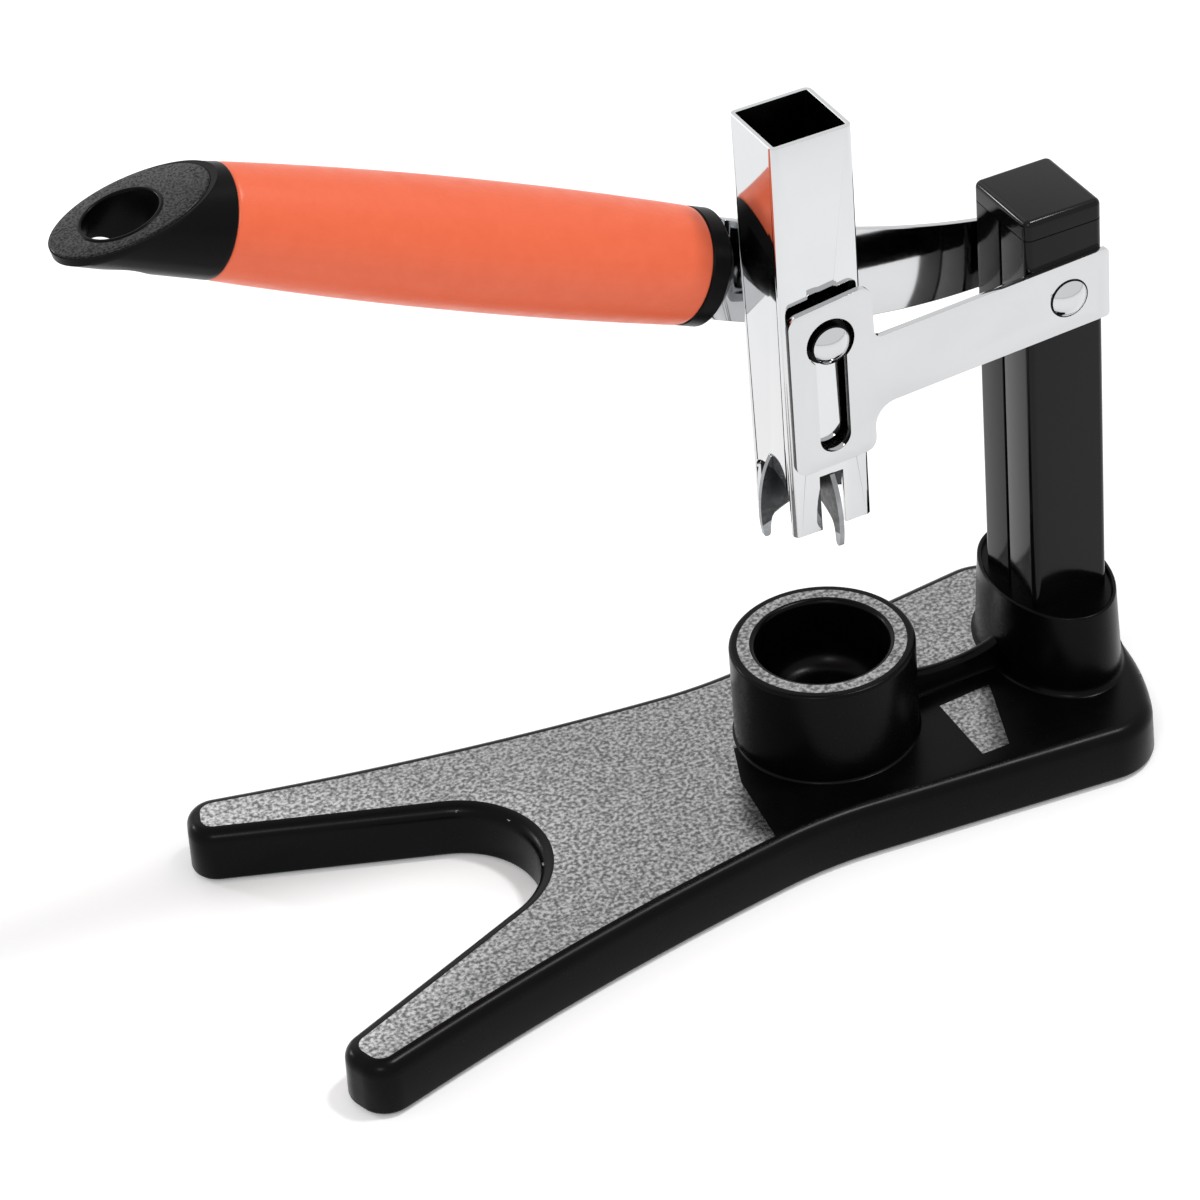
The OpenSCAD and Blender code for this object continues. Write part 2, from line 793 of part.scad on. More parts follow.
module cutter_tube() {
  slit = blade_t + 2 * fit_gap;
  color([0.82, 0.82, 0.84])
    at_cutter()
      difference() {
        translate([0, 0, -tube_down])
          linear_extrude(tube_l)
            difference() {
              polygon(round_rect(tube_w, tube_w, tube_r));
              polygon(round_rect(tube_w, tube_w, tube_r, tube_wall));
            }
        translate([-slot_w / 2, -tube_w, -tube_down - 1])
          cube([slot_w, 2 * tube_w, blade_top - 5 + 1]);
        translate([-tube_w, 0, -tube_down])
          rotate([90, 0, 90])
            linear_extrude(2 * tube_w)
              tube_arch();
        translate([-tube_w, -slit / 2, -tube_down])
          cube([2 * tube_w, slit, blade_top - 2]);
        translate([0, 0, pin_rise])
          rod(pin_d + fit_gap, -tube_w, tube_w);
      }
}

// One blade, spanning the tube: each half has an ear that passes out through the tube's side and
// ends in a point. The lower edge between the points is an arch, ground to an edge on both faces.
// The two blades cross in a half-lap on the tube's axis: one is notched from below, one from above.
lap = blade_t + 2 * fit_gap;
lap_z = (blade_arch + blade_top) / 2;
function arch_at(t, ground) =
  curve([0, blade_arch + ground], [4, blade_arch - 0.6 + ground], [7.2, -1.2 + ground],
    [9, -2.7 + ground], t);
function blade_half(ear_top, ground, notch_below) =
  let (
    tip = [blade_reach - 1.2, -blade_drop + ground * 1.6],
    inner = tube_w / 2 - tube_wall - fit_gap
  )
  concat(
    [[lap / 2, notch_below ? lap_z : blade_arch + ground - 0.02]],
    [[lap / 2 + 0.01, blade_arch + ground - 0.1]],
    [for (k = [1:5]) arch_at(k / 5, ground)],
    [[(9 + tip.x) / 2 + 0.2, -4 + ground], tip],
    [for (k = [1:6])
      curve(tip + [0.2, 0.6], [blade_reach + 0.5, 2], [blade_reach + 0.1, ear_top - 6],
        [tube_w / 2 + 0.3, ear_top], k / 6)],
    [[inner, ear_top], [inner, blade_top]],
    [[lap / 2 + 0.01, blade_top - 0.01]],
    [[lap / 2, notch_below ? blade_top : lap_z]]
  );
function blade_ring(half, y) = concat(
  [for (p = half) [p.x, -y, p.y]],
  [for (i = [len(half) - 1:-1:0]) [-half[i].x, -y, half[i].y]]
);

module blade(ear_top, notch_below) {
  translate([0, 0, -tube_down])
    skin([
      for (row = [[0.9, -blade_t / 2], [0, -0.05], [0, 0.05], [0.9, blade_t / 2]])
        blade_ring(blade_half(ear_top, row[0], notch_below), row[1])
    ]);
}

module blade_lengthwise() {
  color([0.8, 0.8, 0.82])
    at_cutter()
      blade(blade_top - 2 - fit_gap, true);
}
module blade_crosswise() {
  color([0.8, 0.8, 0.82])
    at_cutter()
      rotate([0, 0, 90])
        blade(blade_top - 5 - fit_gap, false);
}

// The drive pin crosses the tube from the guide slot to the lever plate
module drive_pin() {
  washer_out = lever_out + face_gap + 0.8;
  color([0.8, 0.8, 0.82])
    at_cutter()
      translate([0, 0, pin_rise]) {
        translate([0, guide_front - face_gap, 0])
          rotate([90, 0, 0])
            dome(head_d, head_h);
        rod(pin_d, guide_front - face_gap - eps, washer_out + eps);
        translate([0, washer_out, 0])
          rotate([-90, 0, 0])
            dome(head_d - 1.4, head_h - 0.4);
      }
}

// The bush runs in the guide slot, and its shoulder keeps the tube off the guide plate
module guide_bush() {
  color([0.8, 0.8, 0.82])
    at_cutter()
      translate([0, 0, pin_rise])
        difference() {
          union() {
            rod(bush_d, guide_front - face_gap, -tube_w / 2);
            rod(2 * keyhole_r - 0.8, guide_back + face_gap, -tube_w / 2);
          }
          rod(pin_d + fit_gap, guide_front - 1, -tube_w / 2 + 1);
        }
}

module ring_xz(d, y0, y1) {
  at_cutter()
    translate([0, 0, pin_rise])
      difference() {
        rod(d, y0, y1);
        rod(pin_d + fit_gap, y0 - 1, y1 + 1);
      }
}
module drive_spacer() {
  color([0.8, 0.8, 0.82])
    ring_xz(pin_d + 4, tube_w / 2, lever_in - face_gap);
}
module drive_washer() {
  color([0.8, 0.8, 0.82])
    ring_xz(pin_d + 5.5, lever_out + face_gap, lever_out + face_gap + 0.8);
}

base();
foot_prong_near();
foot_prong_far();
foot_tail_near();
foot_tail_far();
post();
post_cap();
post_plug();
post_screw();
guide_plate();
pivot_rivet();
pivot_washer();
lever_plate();
handle_core();
grip();
end_cap();
cutter_tube();
blade_lengthwise();
blade_crosswise();
drive_pin();
guide_bush();
drive_spacer();
drive_washer();
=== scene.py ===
"""Dresses the chestnut opener: its visible surfaces, its finishes, the light and the camera.

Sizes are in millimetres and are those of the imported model. Meshes are made in metres, in the
model's own frame: Z up, X along the base with the fork towards -X, the guide plate on -Y.
"""

import logging
import math
from collections.abc import Callable, Sequence
from dataclasses import dataclass, field
from enum import Enum
from functools import partial

import bmesh
import bpy
import numpy as np
from mathutils import Matrix, Vector
from mathutils.geometry import delaunay_2d_cdt


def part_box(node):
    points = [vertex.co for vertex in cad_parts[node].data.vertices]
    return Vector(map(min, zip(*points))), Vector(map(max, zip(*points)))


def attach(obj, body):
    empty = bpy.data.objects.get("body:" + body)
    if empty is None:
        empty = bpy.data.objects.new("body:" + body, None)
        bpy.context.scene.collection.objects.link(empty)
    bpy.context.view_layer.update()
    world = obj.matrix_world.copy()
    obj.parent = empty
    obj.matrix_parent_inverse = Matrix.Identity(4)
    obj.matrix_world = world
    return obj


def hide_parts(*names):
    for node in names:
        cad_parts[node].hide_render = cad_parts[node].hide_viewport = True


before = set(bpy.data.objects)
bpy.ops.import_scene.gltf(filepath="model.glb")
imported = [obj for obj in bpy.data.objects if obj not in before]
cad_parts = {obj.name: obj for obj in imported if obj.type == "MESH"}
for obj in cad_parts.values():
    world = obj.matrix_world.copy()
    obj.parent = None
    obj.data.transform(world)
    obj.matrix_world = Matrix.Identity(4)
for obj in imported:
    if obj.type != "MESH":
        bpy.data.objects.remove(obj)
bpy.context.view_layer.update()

LOG = logging.getLogger("opener")
# The directions that pieces are turned about: the model's Z, and the pins' own Y
UPRIGHT = (0.0, 0.0, 1.0)
THROUGH = (0.0, 1.0, 0.0)
# A corner of a path: its point, the radius that rounds it, and the number of steps round it
Corner = tuple[Sequence[float], float, int]


class Body(Enum):
    """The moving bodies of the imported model."""

    STAND = "stand"
    LEVER = "lever"
    CUTTER = "cutter"


class Slot(Enum):
    """The record's material slots."""

    BASE = "base_plastic"
    FOOT = "foot_rubber"
    POST = "post_paint"
    ZINC = "zinc_steel"
    POLISHED = "polished_steel"
    TUBE = "tube_steel"
    BLADE = "blade_steel"
    HANDLE = "handle_plastic"
    GRIP = "grip_rubber"


# Surfaces


def direction(degrees: float | np.ndarray) -> np.ndarray:
    """Unit vectors (cos a, sin a) for one angle or an array of them."""
    angle = np.radians(np.asarray(degrees, float))
    return np.stack([np.cos(angle), np.sin(angle)], axis=-1)


def turn_at(a: np.ndarray, b: np.ndarray, c: np.ndarray) -> float:
    """Angle in degrees by which a path turns at b between a and c, left positive."""
    u, v = b - a, c - b
    return math.degrees(math.atan2(u[0] * v[1] - u[1] * v[0], float(u @ v)))


def arc_at(
    a: np.ndarray, b: np.ndarray, c: np.ndarray, radius: float, inset: float, steps: int
) -> np.ndarray:
    """Points of the arc that rounds corner b of a path.

    The arc starts r tan(|t| / 2) before b, t being the turn. Its centre lies r to the side that
    the path turns to, and point k stands (r - side * inset) from it at a0 + t k / steps.

    Args:
        a: The path's point before the corner.
        b: The corner.
        c: The path's point after the corner.
        radius: Radius of the arc.
        inset: How far the line moves to the left of the path.
        steps: Number of steps along the arc.

    Returns:
        An array of steps + 1 points.
    """
    u = (b - a) / np.linalg.norm(b - a)
    turn = turn_at(a, b, c)
    side = math.copysign(1.0, turn)
    start = b - u * radius * math.tan(math.radians(abs(turn)) / 2)
    centre = start + side * radius * np.array([-u[1], u[0]])
    first = math.degrees(math.atan2(*(start - centre)[::-1]))
    angles = first + turn * np.linspace(0, 1, steps + 1)
    return centre + (radius - side * inset) * direction(angles)


def outline(corners: Sequence[Corner], inset: float = 0.0, finer: int = 1) -> np.ndarray:
    """Closed outline, anticlockwise, with each corner rounded.

    Args:
        corners: For each corner its point, its radius and its number of steps.
        inset: How far the line moves into the shape.
        finer: Factor on each corner's steps.

    Returns:
        An array of points (n, 2), with the same n for every inset.
    """
    points = [np.asarray(corner[0], float) for corner in corners]
    count = len(points)
    arcs = [
        arc_at(points[i - 1], points[i], points[(i + 1) % count], radius, inset, steps * finer)
        for i, (_, radius, steps) in enumerate(corners)
    ]
    return np.concatenate(arcs)


def soft_path(corners: Sequence[Corner]) -> np.ndarray:
    """Open path through points, with the inner corners rounded by their radii.

    Args:
        corners: The path's corners. Those with radius 0, and both ends, stay sharp.

    Returns:
        An array of points (n, 2).
    """
    points = [np.asarray(corner[0], float) for corner in corners]
    inner = [
        arc_at(points[i - 1], points[i], points[i + 1], corners[i][1], 0.0, corners[i][2])
        if corners[i][1] > 0
        else points[i][None]
        for i in range(1, len(points) - 1)
    ]
    return np.concatenate([points[0][None], *inner, points[-1][None]])


def curve(a: Sequence[float], b: Sequence[float], c: Sequence[float], d: Sequence[float],
          t: np.ndarray) -> np.ndarray:
    """Points of a cubic curve: a (1-t)^3 + 3 b t (1-t)^2 + 3 c t^2 (1-t) + d t^3.

    Args:
        a: Where the curve starts.
        b: The point that it leaves towards.
        c: The point that it arrives from.
        d: Where it ends.
        t: Positions along it, from 0 to 1.

    Returns:
        An array of points (len(t), k), k being the points' own number of coordinates.
    """
    a, b, c, d = (np.asarray(p, float) for p in (a, b, c, d))
    t = np.asarray(t, float)[:, None]
    return a * (1 - t) ** 3 + 3 * b * t * (1 - t) ** 2 + 3 * c * t**2 * (1 - t) + d * t**3


def within(points: np.ndarray, loops: Sequence[np.ndarray]) -> np.ndarray:
    """Whether points lie inside closed loops: a ray from each crosses them an odd number of times.

    Args:
        points: Points (n, 2).
        loops: Closed loops of points (m, 2), the holes among them.

    Returns:
        One truth value for each point.
    """
    a = np.concatenate(loops)
    b = np.concatenate([np.roll(loop, -1, axis=0) for loop in loops])
    crossed = (a[:, 1] > points[:, 1:]) != (b[:, 1] > points[:, 1:])
    rise = np.where(a[:, 1] == b[:, 1], 1.0, b[:, 1] - a[:, 1])
    where = a[:, 0] + (points[:, 1:] - a[:, 1]) * (b[:, 0] - a[:, 0]) / rise
    return (crossed & (where > points[:, :1])).sum(axis=1) % 2 == 1


def fill(
    loops: Sequence[np.ndarray], ruled: np.ndarray | None = None
) -> tuple[np.ndarray, np.ndarray]:
    """Triangles that fill a flat outline with holes.

    The outline's lines are edges of a Delaunay net, and a triangle is kept where its middle lies
    within the loops.

    Args:
        loops: Closed loops of points (n, 2), the holes among them.
        ruled: Further lines to follow, as pairs of points (m, 2, 2).

    Returns:
        The net's points (n, 2), and its triangles (m, 3), anticlockwise.
    """
    points = np.concatenate(loops)
    first = np.cumsum([0, *[len(loop) for loop in loops[:-1]]])
    edges = np.concatenate(
        [
            np.stack([start + np.arange(len(loop)), start + np.roll(np.arange(len(loop)), -1)], 1)
            for start, loop in zip(first, loops)
        ]
    )
    if ruled is not None:
        further = len(points) + np.arange(2 * len(ruled)).reshape(-1, 2)
        points = np.concatenate([points, ruled.reshape(-1, 2)])
        edges = np.concatenate([edges, further])
    net, _, faces, *_ = delaunay_2d_cdt(
        [Vector(p) for p in points.tolist()], edges.tolist(), [], 0, 1e-6)
    net = np.array([tuple(p) for p in net])
    faces = np.array(faces)
    inside = within(net[faces].mean(axis=1), loops)
    used, order = np.unique(faces[inside], return_inverse=True)
    return net[used], order.reshape(-1, 3)


class Shell:
    """Gathers grids, fills and sheets, in millimetres, for one mesh in metres."""

    def __init__(self) -> None:
        """Starts with nothing."""
        self.points: list[np.ndarray] = []
        self.faces: list[list[int]] = []
        self.finishes: list[int] = []
        self.count = 0

    def add(self, points: np.ndarray, faces: Sequence[Sequence[int]],
            finish: int | np.ndarray = 0) -> "Shell":
        """Adds points and faces.

        Args:
            points: Points, in any array whose last axis is (x, y, z).
            faces: For each face its points, counted from the first of these.
            finish: Index of the material, one for all faces or one for each.

        Returns:
            The shell itself.
        """
        points = np.asarray(points, float).reshape(-1, 3)
        self.points.append(points)
        self.faces += [[self.count + int(i) for i in face] for face in faces]
        self.finishes += np.broadcast_to(finish, len(faces)).astype(int).tolist()
        self.count += len(points)
        return self

    def grid(
        self, points: np.ndarray, finish: int = 0, wrap: bool = False, ends: bool = True
    ) -> "Shell":
        """Adds a surface P(i, j) on a grid whose columns close round.

        Face (i, j) joins P(i, j), P(i, j+1), P(i+1, j+1) and P(i+1, j).

        Args:
            points: The grid (rows, columns, 3).
            finish: Index of the material.
            wrap: Whether the last row joins the first.
            ends: Whether a flat face closes the first and the last row.

        Returns:
            The shell itself.
        """
        rows, columns = points.shape[:2]
        starts = np.arange(rows if wrap else rows - 1)
        i, j = np.meshgrid(starts, np.arange(columns), indexing="ij")
        k, m = (i + 1) % rows, (j + 1) % columns
        quads = np.stack([i, i, k, k]) * columns + np.stack([j, m, m, j])
        faces = quads.reshape(4, -1).T.tolist()
        if ends and not wrap:
            faces.append(list(range(columns))[::-1])
            faces.append(list(range((rows - 1) * columns, rows * columns)))
        return self.add(points, faces, finish)

    def sheet(
        self,
        loops: Sequence[np.ndarray],
        front: Callable[[np.ndarray], np.ndarray],
        back: Callable[[np.ndarray], np.ndarray],
        ruled: np.ndarray | None = None,
        finishes: tuple[int, int] = (0, 0),
    ) -> "Shell":
        """Adds a plate: one flat net placed twice, with its free edges joined.

        Args:
            loops: The flat outline and its holes.
            front: Places flat points on the front.
            back: Places flat points on the back.
            ruled: Lines that the net follows, such as where the plate bends.
            finishes: Indices of the materials of the front with the edges, and of the back.

        Returns:
            The shell itself.
        """
        net, faces = fill(loops, ruled)
        near, far = front(net), back(net)
        _, same = np.unique(np.round(near, 4), axis=0, return_inverse=True)
        edges = np.concatenate([faces[:, [0, 1]], faces[:, [1, 2]], faces[:, [2, 0]]])
        keys = np.sort(same.ravel()[edges], axis=1)
        _, which, times = np.unique(keys, axis=0, return_inverse=True, return_counts=True)
        free = edges[times[which.ravel()] == 1]
        n, first = len(net), self.count
        sides = np.stack([free[:, 1], free[:, 0], free[:, 0] + n, free[:, 1] + n], axis=1)
        self.add(np.concatenate([near, far]), faces, finishes[0])
        for more, finish in ((faces[:, ::-1] + n, finishes[1]), (sides, finishes[0])):
            self.faces += (more + first).tolist()
            self.finishes += [finish] * len(more)
        return self

    def mesh(self, name: str) -> bpy.types.Mesh:
        """Makes the mesh: doubles merged, slivers dissolved, and faces turned outwards.

        Args:
            name: The mesh's name.

        Returns:
            The mesh, in metres, with each face's index of its material.
        """
        mesh = bpy.data.meshes.new(name)
        mesh.from_pydata((np.concatenate(self.points) / 1000).tolist(), [], self.faces)
        mesh.polygons.foreach_set("material_index", self.finishes)
        net = bmesh.new()
        net.from_mesh(mesh)
        bmesh.ops.remove_doubles(net, verts=net.verts, dist=2e-6)
        bmesh.ops.dissolve_degenerate(net, edges=net.edges, dist=1e-7)
        bmesh.ops.recalc_face_normals(net, faces=net.faces)
        net.to_mesh(mesh)
        net.free()
        return mesh


def lathe(profile: np.ndarray, origin: Sequence[float], axis: Sequence[float],
          steps: int = 96) -> np.ndarray:
    """Turns a profile about an axis.

    P(i, j) = origin + h_i axis + r_i (cos t_j u + sin t_j v), u and v being square to the axis.

    Args:
        profile: Pairs (radius, distance along the axis).
        origin: A point on the axis.
        axis: The axis's direction.
        steps: Number of steps round the axis.

    Returns:
        A grid of points (len(profile), steps, 3).
    """
    w = np.asarray(axis, float) / np.linalg.norm(axis)
    u = np.cross(w, [0.0, 0.0, 1.0] if abs(w[2]) < 0.9 else [0.0, 1.0, 0.0])
    u /= np.linalg.norm(u)
    v = np.cross(w, u)
    ring = direction(np.arange(steps) * 360 / steps)
    around = ring[:, :1] * u + ring[:, 1:] * v
    return np.asarray(origin, float) + profile[:, 1, None, None] * w + (
        profile[:, 0, None, None] * around)


def lift(points: np.ndarray, height: float) -> np.ndarray:
    """Points (n, k) with one height as their last coordinate."""
    return np.column_stack([points, np.full(len(points), height)])


def rounded_box(width: float, depth: float, radius: float, inset: float = 0.0,
                steps: int = 8) -> np.ndarray:
    """Outline of a rectangle about the origin with rounded corners."""
    x, y = width / 2, depth / 2
    return outline([((-x, -y), radius, steps), ((x, -y), radius, steps), ((x, y), radius, steps),
                    ((-x, y), radius, steps)], inset)


def dome(diameter: float, height: float, steps: int = 12) -> np.ndarray:
    """Profile of a shallow cap of a sphere, of radius (d^2 / 4 + h^2) / 2h.

    Args:
        diameter: The rim's diameter.
        height: How far the crown stands above the rim.
        steps: Number of points.

    Returns:
        Pairs (radius, height above the rim), from the rim to the crown.
    """
    radius = (diameter**2 / 4 + height**2) / (2 * height)
    rim = math.degrees(math.acos((radius - height) / radius))
    angle = np.linspace(90 - rim, 90, steps)
    return radius * direction(angle) + [0.0, height - radius]


# Finishes


def linear(colour: str) -> tuple[float, float, float, float]:
    """A colour written as sRGB hex, as linear values with alpha 1."""
    parts = [int(colour[i : i + 2], 16) / 255 for i in (1, 3, 5)]
    return (*[p / 12.92 if p <= 0.04045 else ((p + 0.055) / 1.055) ** 2.4 for p in parts], 1.0)


def per_metre(size: float) -> float:
    """Scale of a texture whose features are size millimetres apart."""
    return 1000.0 / size


def show(name: str, data: bpy.types.ID) -> bpy.types.Object:
    """Puts a mesh, a lamp or a camera into the scene.

    Args:
        name: The new object's name.
        data: What it shows.

    Returns:
        The object, at the origin.
    """
    thing = bpy.data.objects.new(name, data)
    bpy.context.scene.collection.objects.link(thing)
    return thing


def add_node(
    tree: bpy.types.NodeTree, kind: str, inputs: dict[str | int, object], **settings: object
) -> bpy.types.Node:
    """Adds one node.

    Args:
        tree: The material's or the world's node tree.
        kind: The node's type.
        inputs: What each input takes, by name or number: a socket to link, or a value.
        **settings: The node's own settings.

    Returns:
        The node.
    """
    node = tree.nodes.new(kind)
    for key, value in settings.items():
        setattr(node, key, value)
    for key, value in inputs.items():
        if isinstance(value, bpy.types.NodeSocket):
            tree.links.new(value, node.inputs[key])
        else:
            node.inputs[key].default_value = value
    return node


@dataclass(frozen=True)
class Finish:
    """A material: what it is, how its surface was made, and the typical values for it.

    The colour passes to a second shade, deep, and the roughness varies by spread either way, in
    soft patches of patch_mm.
    """

    name: str
    colour: str
    deep: str
    roughness: float
    spread: float
    metallic: float = 0.0
    ior: float = 1.5
    patch_mm: float = 12.0

    def relief(self, tree: bpy.types.NodeTree, place: bpy.types.NodeSocket) -> bpy.types.Node:
        """The bump of the surface, for each finish its own."""
        raise NotImplementedError

    def gloss(self, tree: bpy.types.NodeTree,
              place: bpy.types.NodeSocket) -> bpy.types.NodeSocket | float:
        """Strength of the mirrored light, 0.5 where the IOR alone sets it."""
        return 0.5

    def build(self) -> bpy.types.Material:
        """Makes the material.

        Its colour and roughness vary in soft patches, and relief gives the bump.

        Returns:
            The material.
        """
        material = bpy.data.materials.new(self.name)
        material.use_nodes = True
        tree = material.node_tree
        tree.nodes.clear()
        place = add_node(tree, "ShaderNodeTexCoord", {}).outputs["Object"]
        patch = add_node(tree, "ShaderNodeTexNoise", {
            "Vector": place, "Scale": per_metre(self.patch_mm), "Detail": 4.0, "Roughness": 0.6})
        colour = add_node(tree, "ShaderNodeMix", {
            0: patch.outputs["Fac"], 6: linear(self.colour), 7: linear(self.deep)},
            data_type="RGBA")
        rough = add_node(tree, "ShaderNodeMapRange", {
            "Value": patch.outputs["Fac"], "From Min": 0.3, "From Max": 0.7,
            "To Min": self.roughness - self.spread, "To Max": self.roughness + self.spread})
        bump = self.relief(tree, place)
        shader = add_node(tree, "ShaderNodeBsdfPrincipled", {
            "Base Color": colour.outputs[2], "Roughness": rough.outputs["Result"],
            "Metallic": self.metallic, "IOR": self.ior,
            "Specular IOR Level": self.gloss(tree, place), "Normal": bump.outputs["Normal"]})
        add_node(tree, "ShaderNodeOutputMaterial", {"Surface": shader.outputs["BSDF"]})
        return material


@dataclass(frozen=True)
class Moulded(Finish):
    """Moulded plastic or paint: a fine even grain of rounded grit, grit_mm apart.

    A mould's grain can be too fine to show, and is then drawn as coarse as it needs to be.
    """

    grit_mm: float = 0.5
    height_mm: float = 0.02
    strength: float = 1.0

    def relief(self, tree: bpy.types.NodeTree, place: bpy.types.NodeSocket) -> bpy.types.Node:
        """Grit: noise with features grit_mm apart.

        Args:
            tree: The material's node tree.
            place: The point in the model, in metres.

        Returns:
            The bump node.
        """
        grit = add_node(tree, "ShaderNodeTexNoise", {
            "Vector": place, "Scale": per_metre(self.grit_mm), "Detail": 2.0, "Roughness": 0.5})
        return add_node(tree, "ShaderNodeBump", {
            "Height": grit.outputs["Fac"], "Distance": self.height_mm / 1000,
            "Strength": self.strength})


@dataclass(frozen=True)
class Speckled(Moulded):
    """Coarsely etched plastic: grit as on Moulded, dull in its pits and glossy on its tops.

    pit and crest are the strengths of the mirrored light there. The noise's middle part, from
    0.36 to 0.64, is stretched between them.
    """

    pit: float = 0.2
    crest: float = 1.0

    def gloss(self, tree: bpy.types.NodeTree,
              place: bpy.types.NodeSocket) -> bpy.types.NodeSocket | float:
        """Strength of the mirrored light: the same grit, stretched to run from pit to crest.

        Args:
            tree: The material's node tree.
            place: The point in the model, in metres.

        Returns:
            The strength's socket.
        """
        grit = add_node(tree, "ShaderNodeTexNoise", {
            "Vector": place, "Scale": per_metre(self.grit_mm), "Detail": 2.0, "Roughness": 0.5})
        return add_node(tree, "ShaderNodeMapRange", {
            "Value": grit.outputs["Fac"], "From Min": 0.36, "From Max": 0.64,
            "To Min": self.pit, "To Max": self.crest}).outputs["Result"]


@dataclass(frozen=True)
class Polished(Finish):
    """Polished or ground metal: slightly wavy, with fine lines along one axis.

    Real polishing lines are too fine to show. These are drawn line_mm apart, as coarse as they
    need to be.
    """

    wave_mm: float = 20.0
    wave_height_mm: float = 0.03
    line_mm: float = 0.25
    line_height_mm: float = 0.0006
    along: tuple[float, float, float] = (0.04, 1.0, 1.0)

    def relief(self, tree: bpy.types.NodeTree, place: bpy.types.NodeSocket) -> bpy.types.Node:
        """Wide waves, and noise drawn out along the polishing direction.

        Args:
            tree: The material's node tree.
            place: The point in the model, in metres.

        Returns:
            The last bump node.
        """
        wave = add_node(tree, "ShaderNodeTexNoise", {
            "Vector": place, "Scale": per_metre(self.wave_mm), "Detail": 1.0})
        broad = add_node(tree, "ShaderNodeBump", {
            "Height": wave.outputs["Fac"], "Distance": self.wave_height_mm / 1000})
        drawn = add_node(tree, "ShaderNodeMapping", {"Vector": place, "Scale": self.along})
        lines = add_node(tree, "ShaderNodeTexNoise", {
            "Vector": drawn.outputs["Vector"], "Scale": per_metre(self.line_mm), "Detail": 3.0})
        return add_node(tree, "ShaderNodeBump", {
            "Height": lines.outputs["Fac"], "Distance": self.line_height_mm / 1000,
            "Normal": broad.outputs["Normal"]})


@dataclass(frozen=True)
class SoftTouch(Finish):
    """Soft thermoplastic rubber: shallow leather-like cells, cell_mm wide, with finer grit."""

    cell_mm: float = 1.1
    cell_height_mm: float = 0.07
    grit_mm: float = 0.35
    grit_height_mm: float = 0.01

    def relief(self, tree: bpy.types.NodeTree, place: bpy.types.NodeSocket) -> bpy.types.Node:
        """Rounded cells parted by creases, and grit on top of them.

        Args:
            tree: The material's node tree.
            place: The point in the model, in metres.

        Returns:
            The last bump node.
        """
        cells = add_node(tree, "ShaderNodeTexVoronoi", {
            "Vector": place, "Scale": per_metre(self.cell_mm)}, feature="SMOOTH_F1")
        broad = add_node(tree, "ShaderNodeBump", {
            "Height": cells.outputs["Distance"], "Distance": self.cell_height_mm / 1000,
            "Strength": 0.6})
        grit = add_node(tree, "ShaderNodeTexNoise", {
            "Vector": place, "Scale": per_metre(self.grit_mm), "Detail": 2.0})
        return add_node(tree, "ShaderNodeBump", {
            "Height": grit.outputs["Fac"], "Distance": self.grit_height_mm / 1000,
            "Normal": broad.outputs["Normal"]})


# ABS, injection moulded in a coarsely etched mould: black, with a bright, speckled gloss on top
GRAINED_ABS = Speckled("grained_black_abs", "#060607", "#0C0C0D", 0.2, 0.04, ior=2.8,
                       grit_mm=0.95, height_mm=0.01)
# ABS, the polished faces of the same mould: deep black with a clear sheen along each edge; also
# used for the painted shade on the base's flat top
GLOSS_ABS_AND_PAINTED_SHADE = Moulded("gloss_black_abs_and_painted_shade", "#020203", "#060606", 0.27, 0.04, ior=1.17,
                    grit_mm=0.9, height_mm=0.006)
# Steel tube, powder coated in gloss black: smooth, with a faint orange peel
POWDER_COAT = Moulded("black_powder_coat", "#060607", "#0B0B0C", 0.12, 0.03, ior=1.27,
                      grit_mm=2.2, height_mm=0.012)
# Stainless steel sheet, mirror polished: bright, with a slight waver in what it mirrors
MIRROR_SHEET = Polished("mirror_polished_steel", "#CCCDCE", "#C3C4C6", 0.07, 0.02, metallic=1.0,
                        patch_mm=25.0)
# Stainless steel tube, mirror polished lengthwise: the brightest, with faint upright lines
MIRROR_TUBE = Polished("mirror_polished_tube", "#D4D5D6", "#CBCCCE", 0.05, 0.02, metallic=1.0,
                       patch_mm=25.0, along=(1.0, 1.0, 0.04))
# The same tube's inside, left as it was drawn: half dull, and painted dark as the shade inside the
# tube
DULL_BORE_PAINTED_SHADE = Polished("unpolished_tube_inside_painted_shade", "#303133", "#232425", 0.22, 0.08, metallic=1.0,
                     patch_mm=9.0, along=(1.0, 1.0, 0.05))
# Hardened stainless steel, ground across the edge: satin gray, with visible grinding lines
GROUND_STEEL = Polished("ground_stainless_steel", "#A2A4A6", "#77797C", 0.26, 0.08, metallic=1.0,
                        line_mm=0.3, line_height_mm=0.006, patch_mm=3.0, along=(1.0, 1.0, 0.08))
# The same steel's flat faces inside the tube: painted dark as the tube's shade, with rough drawing
# marks
BLADE_STEEL_PAINTED_SHADE = Polished("blade_steel_painted_shade", "#5A5B5D", "#2C2D2E", 0.35, 0.1,
                          metallic=1.0, line_mm=0.5, line_height_mm=0.02, patch_mm=1.6,
                          along=(1.0, 1.0, 0.3))
# Almost black steel with a soft gloss: painted shade, for steel faces in shade and for the guide
# plate's back that the tube mirrors
PAINTED_SHADE_STEEL = Polished("painted_shade_dark_steel", "#1A1A1C", "#0E0E0F", 0.3, 0.06, metallic=1.0,
                       patch_mm=2.0)
# Mild steel, zinc plated: dull gray with soft clouds
ZINC_PLATE = Polished("zinc_plated_steel", "#B5B7BA", "#9FA2A6", 0.32, 0.06, metallic=1.0,
                      patch_mm=3.0)
# Polypropylene, injection moulded with a fine texture: black, satin, with pale grains
FINE_BLACK = Speckled("textured_black_polypropylene", "#08080A", "#101011", 0.3, 0.05,
                      ior=1.36, pit=0.1, crest=0.6)
# The same plastic, from the smooth parts of the mould: black, with a soft sheen
SATIN_BLACK = Moulded("satin_black_polypropylene", "#040405", "#09090A", 0.3, 0.06, ior=1.16,
                      grit_mm=0.7, height_mm=0.012)
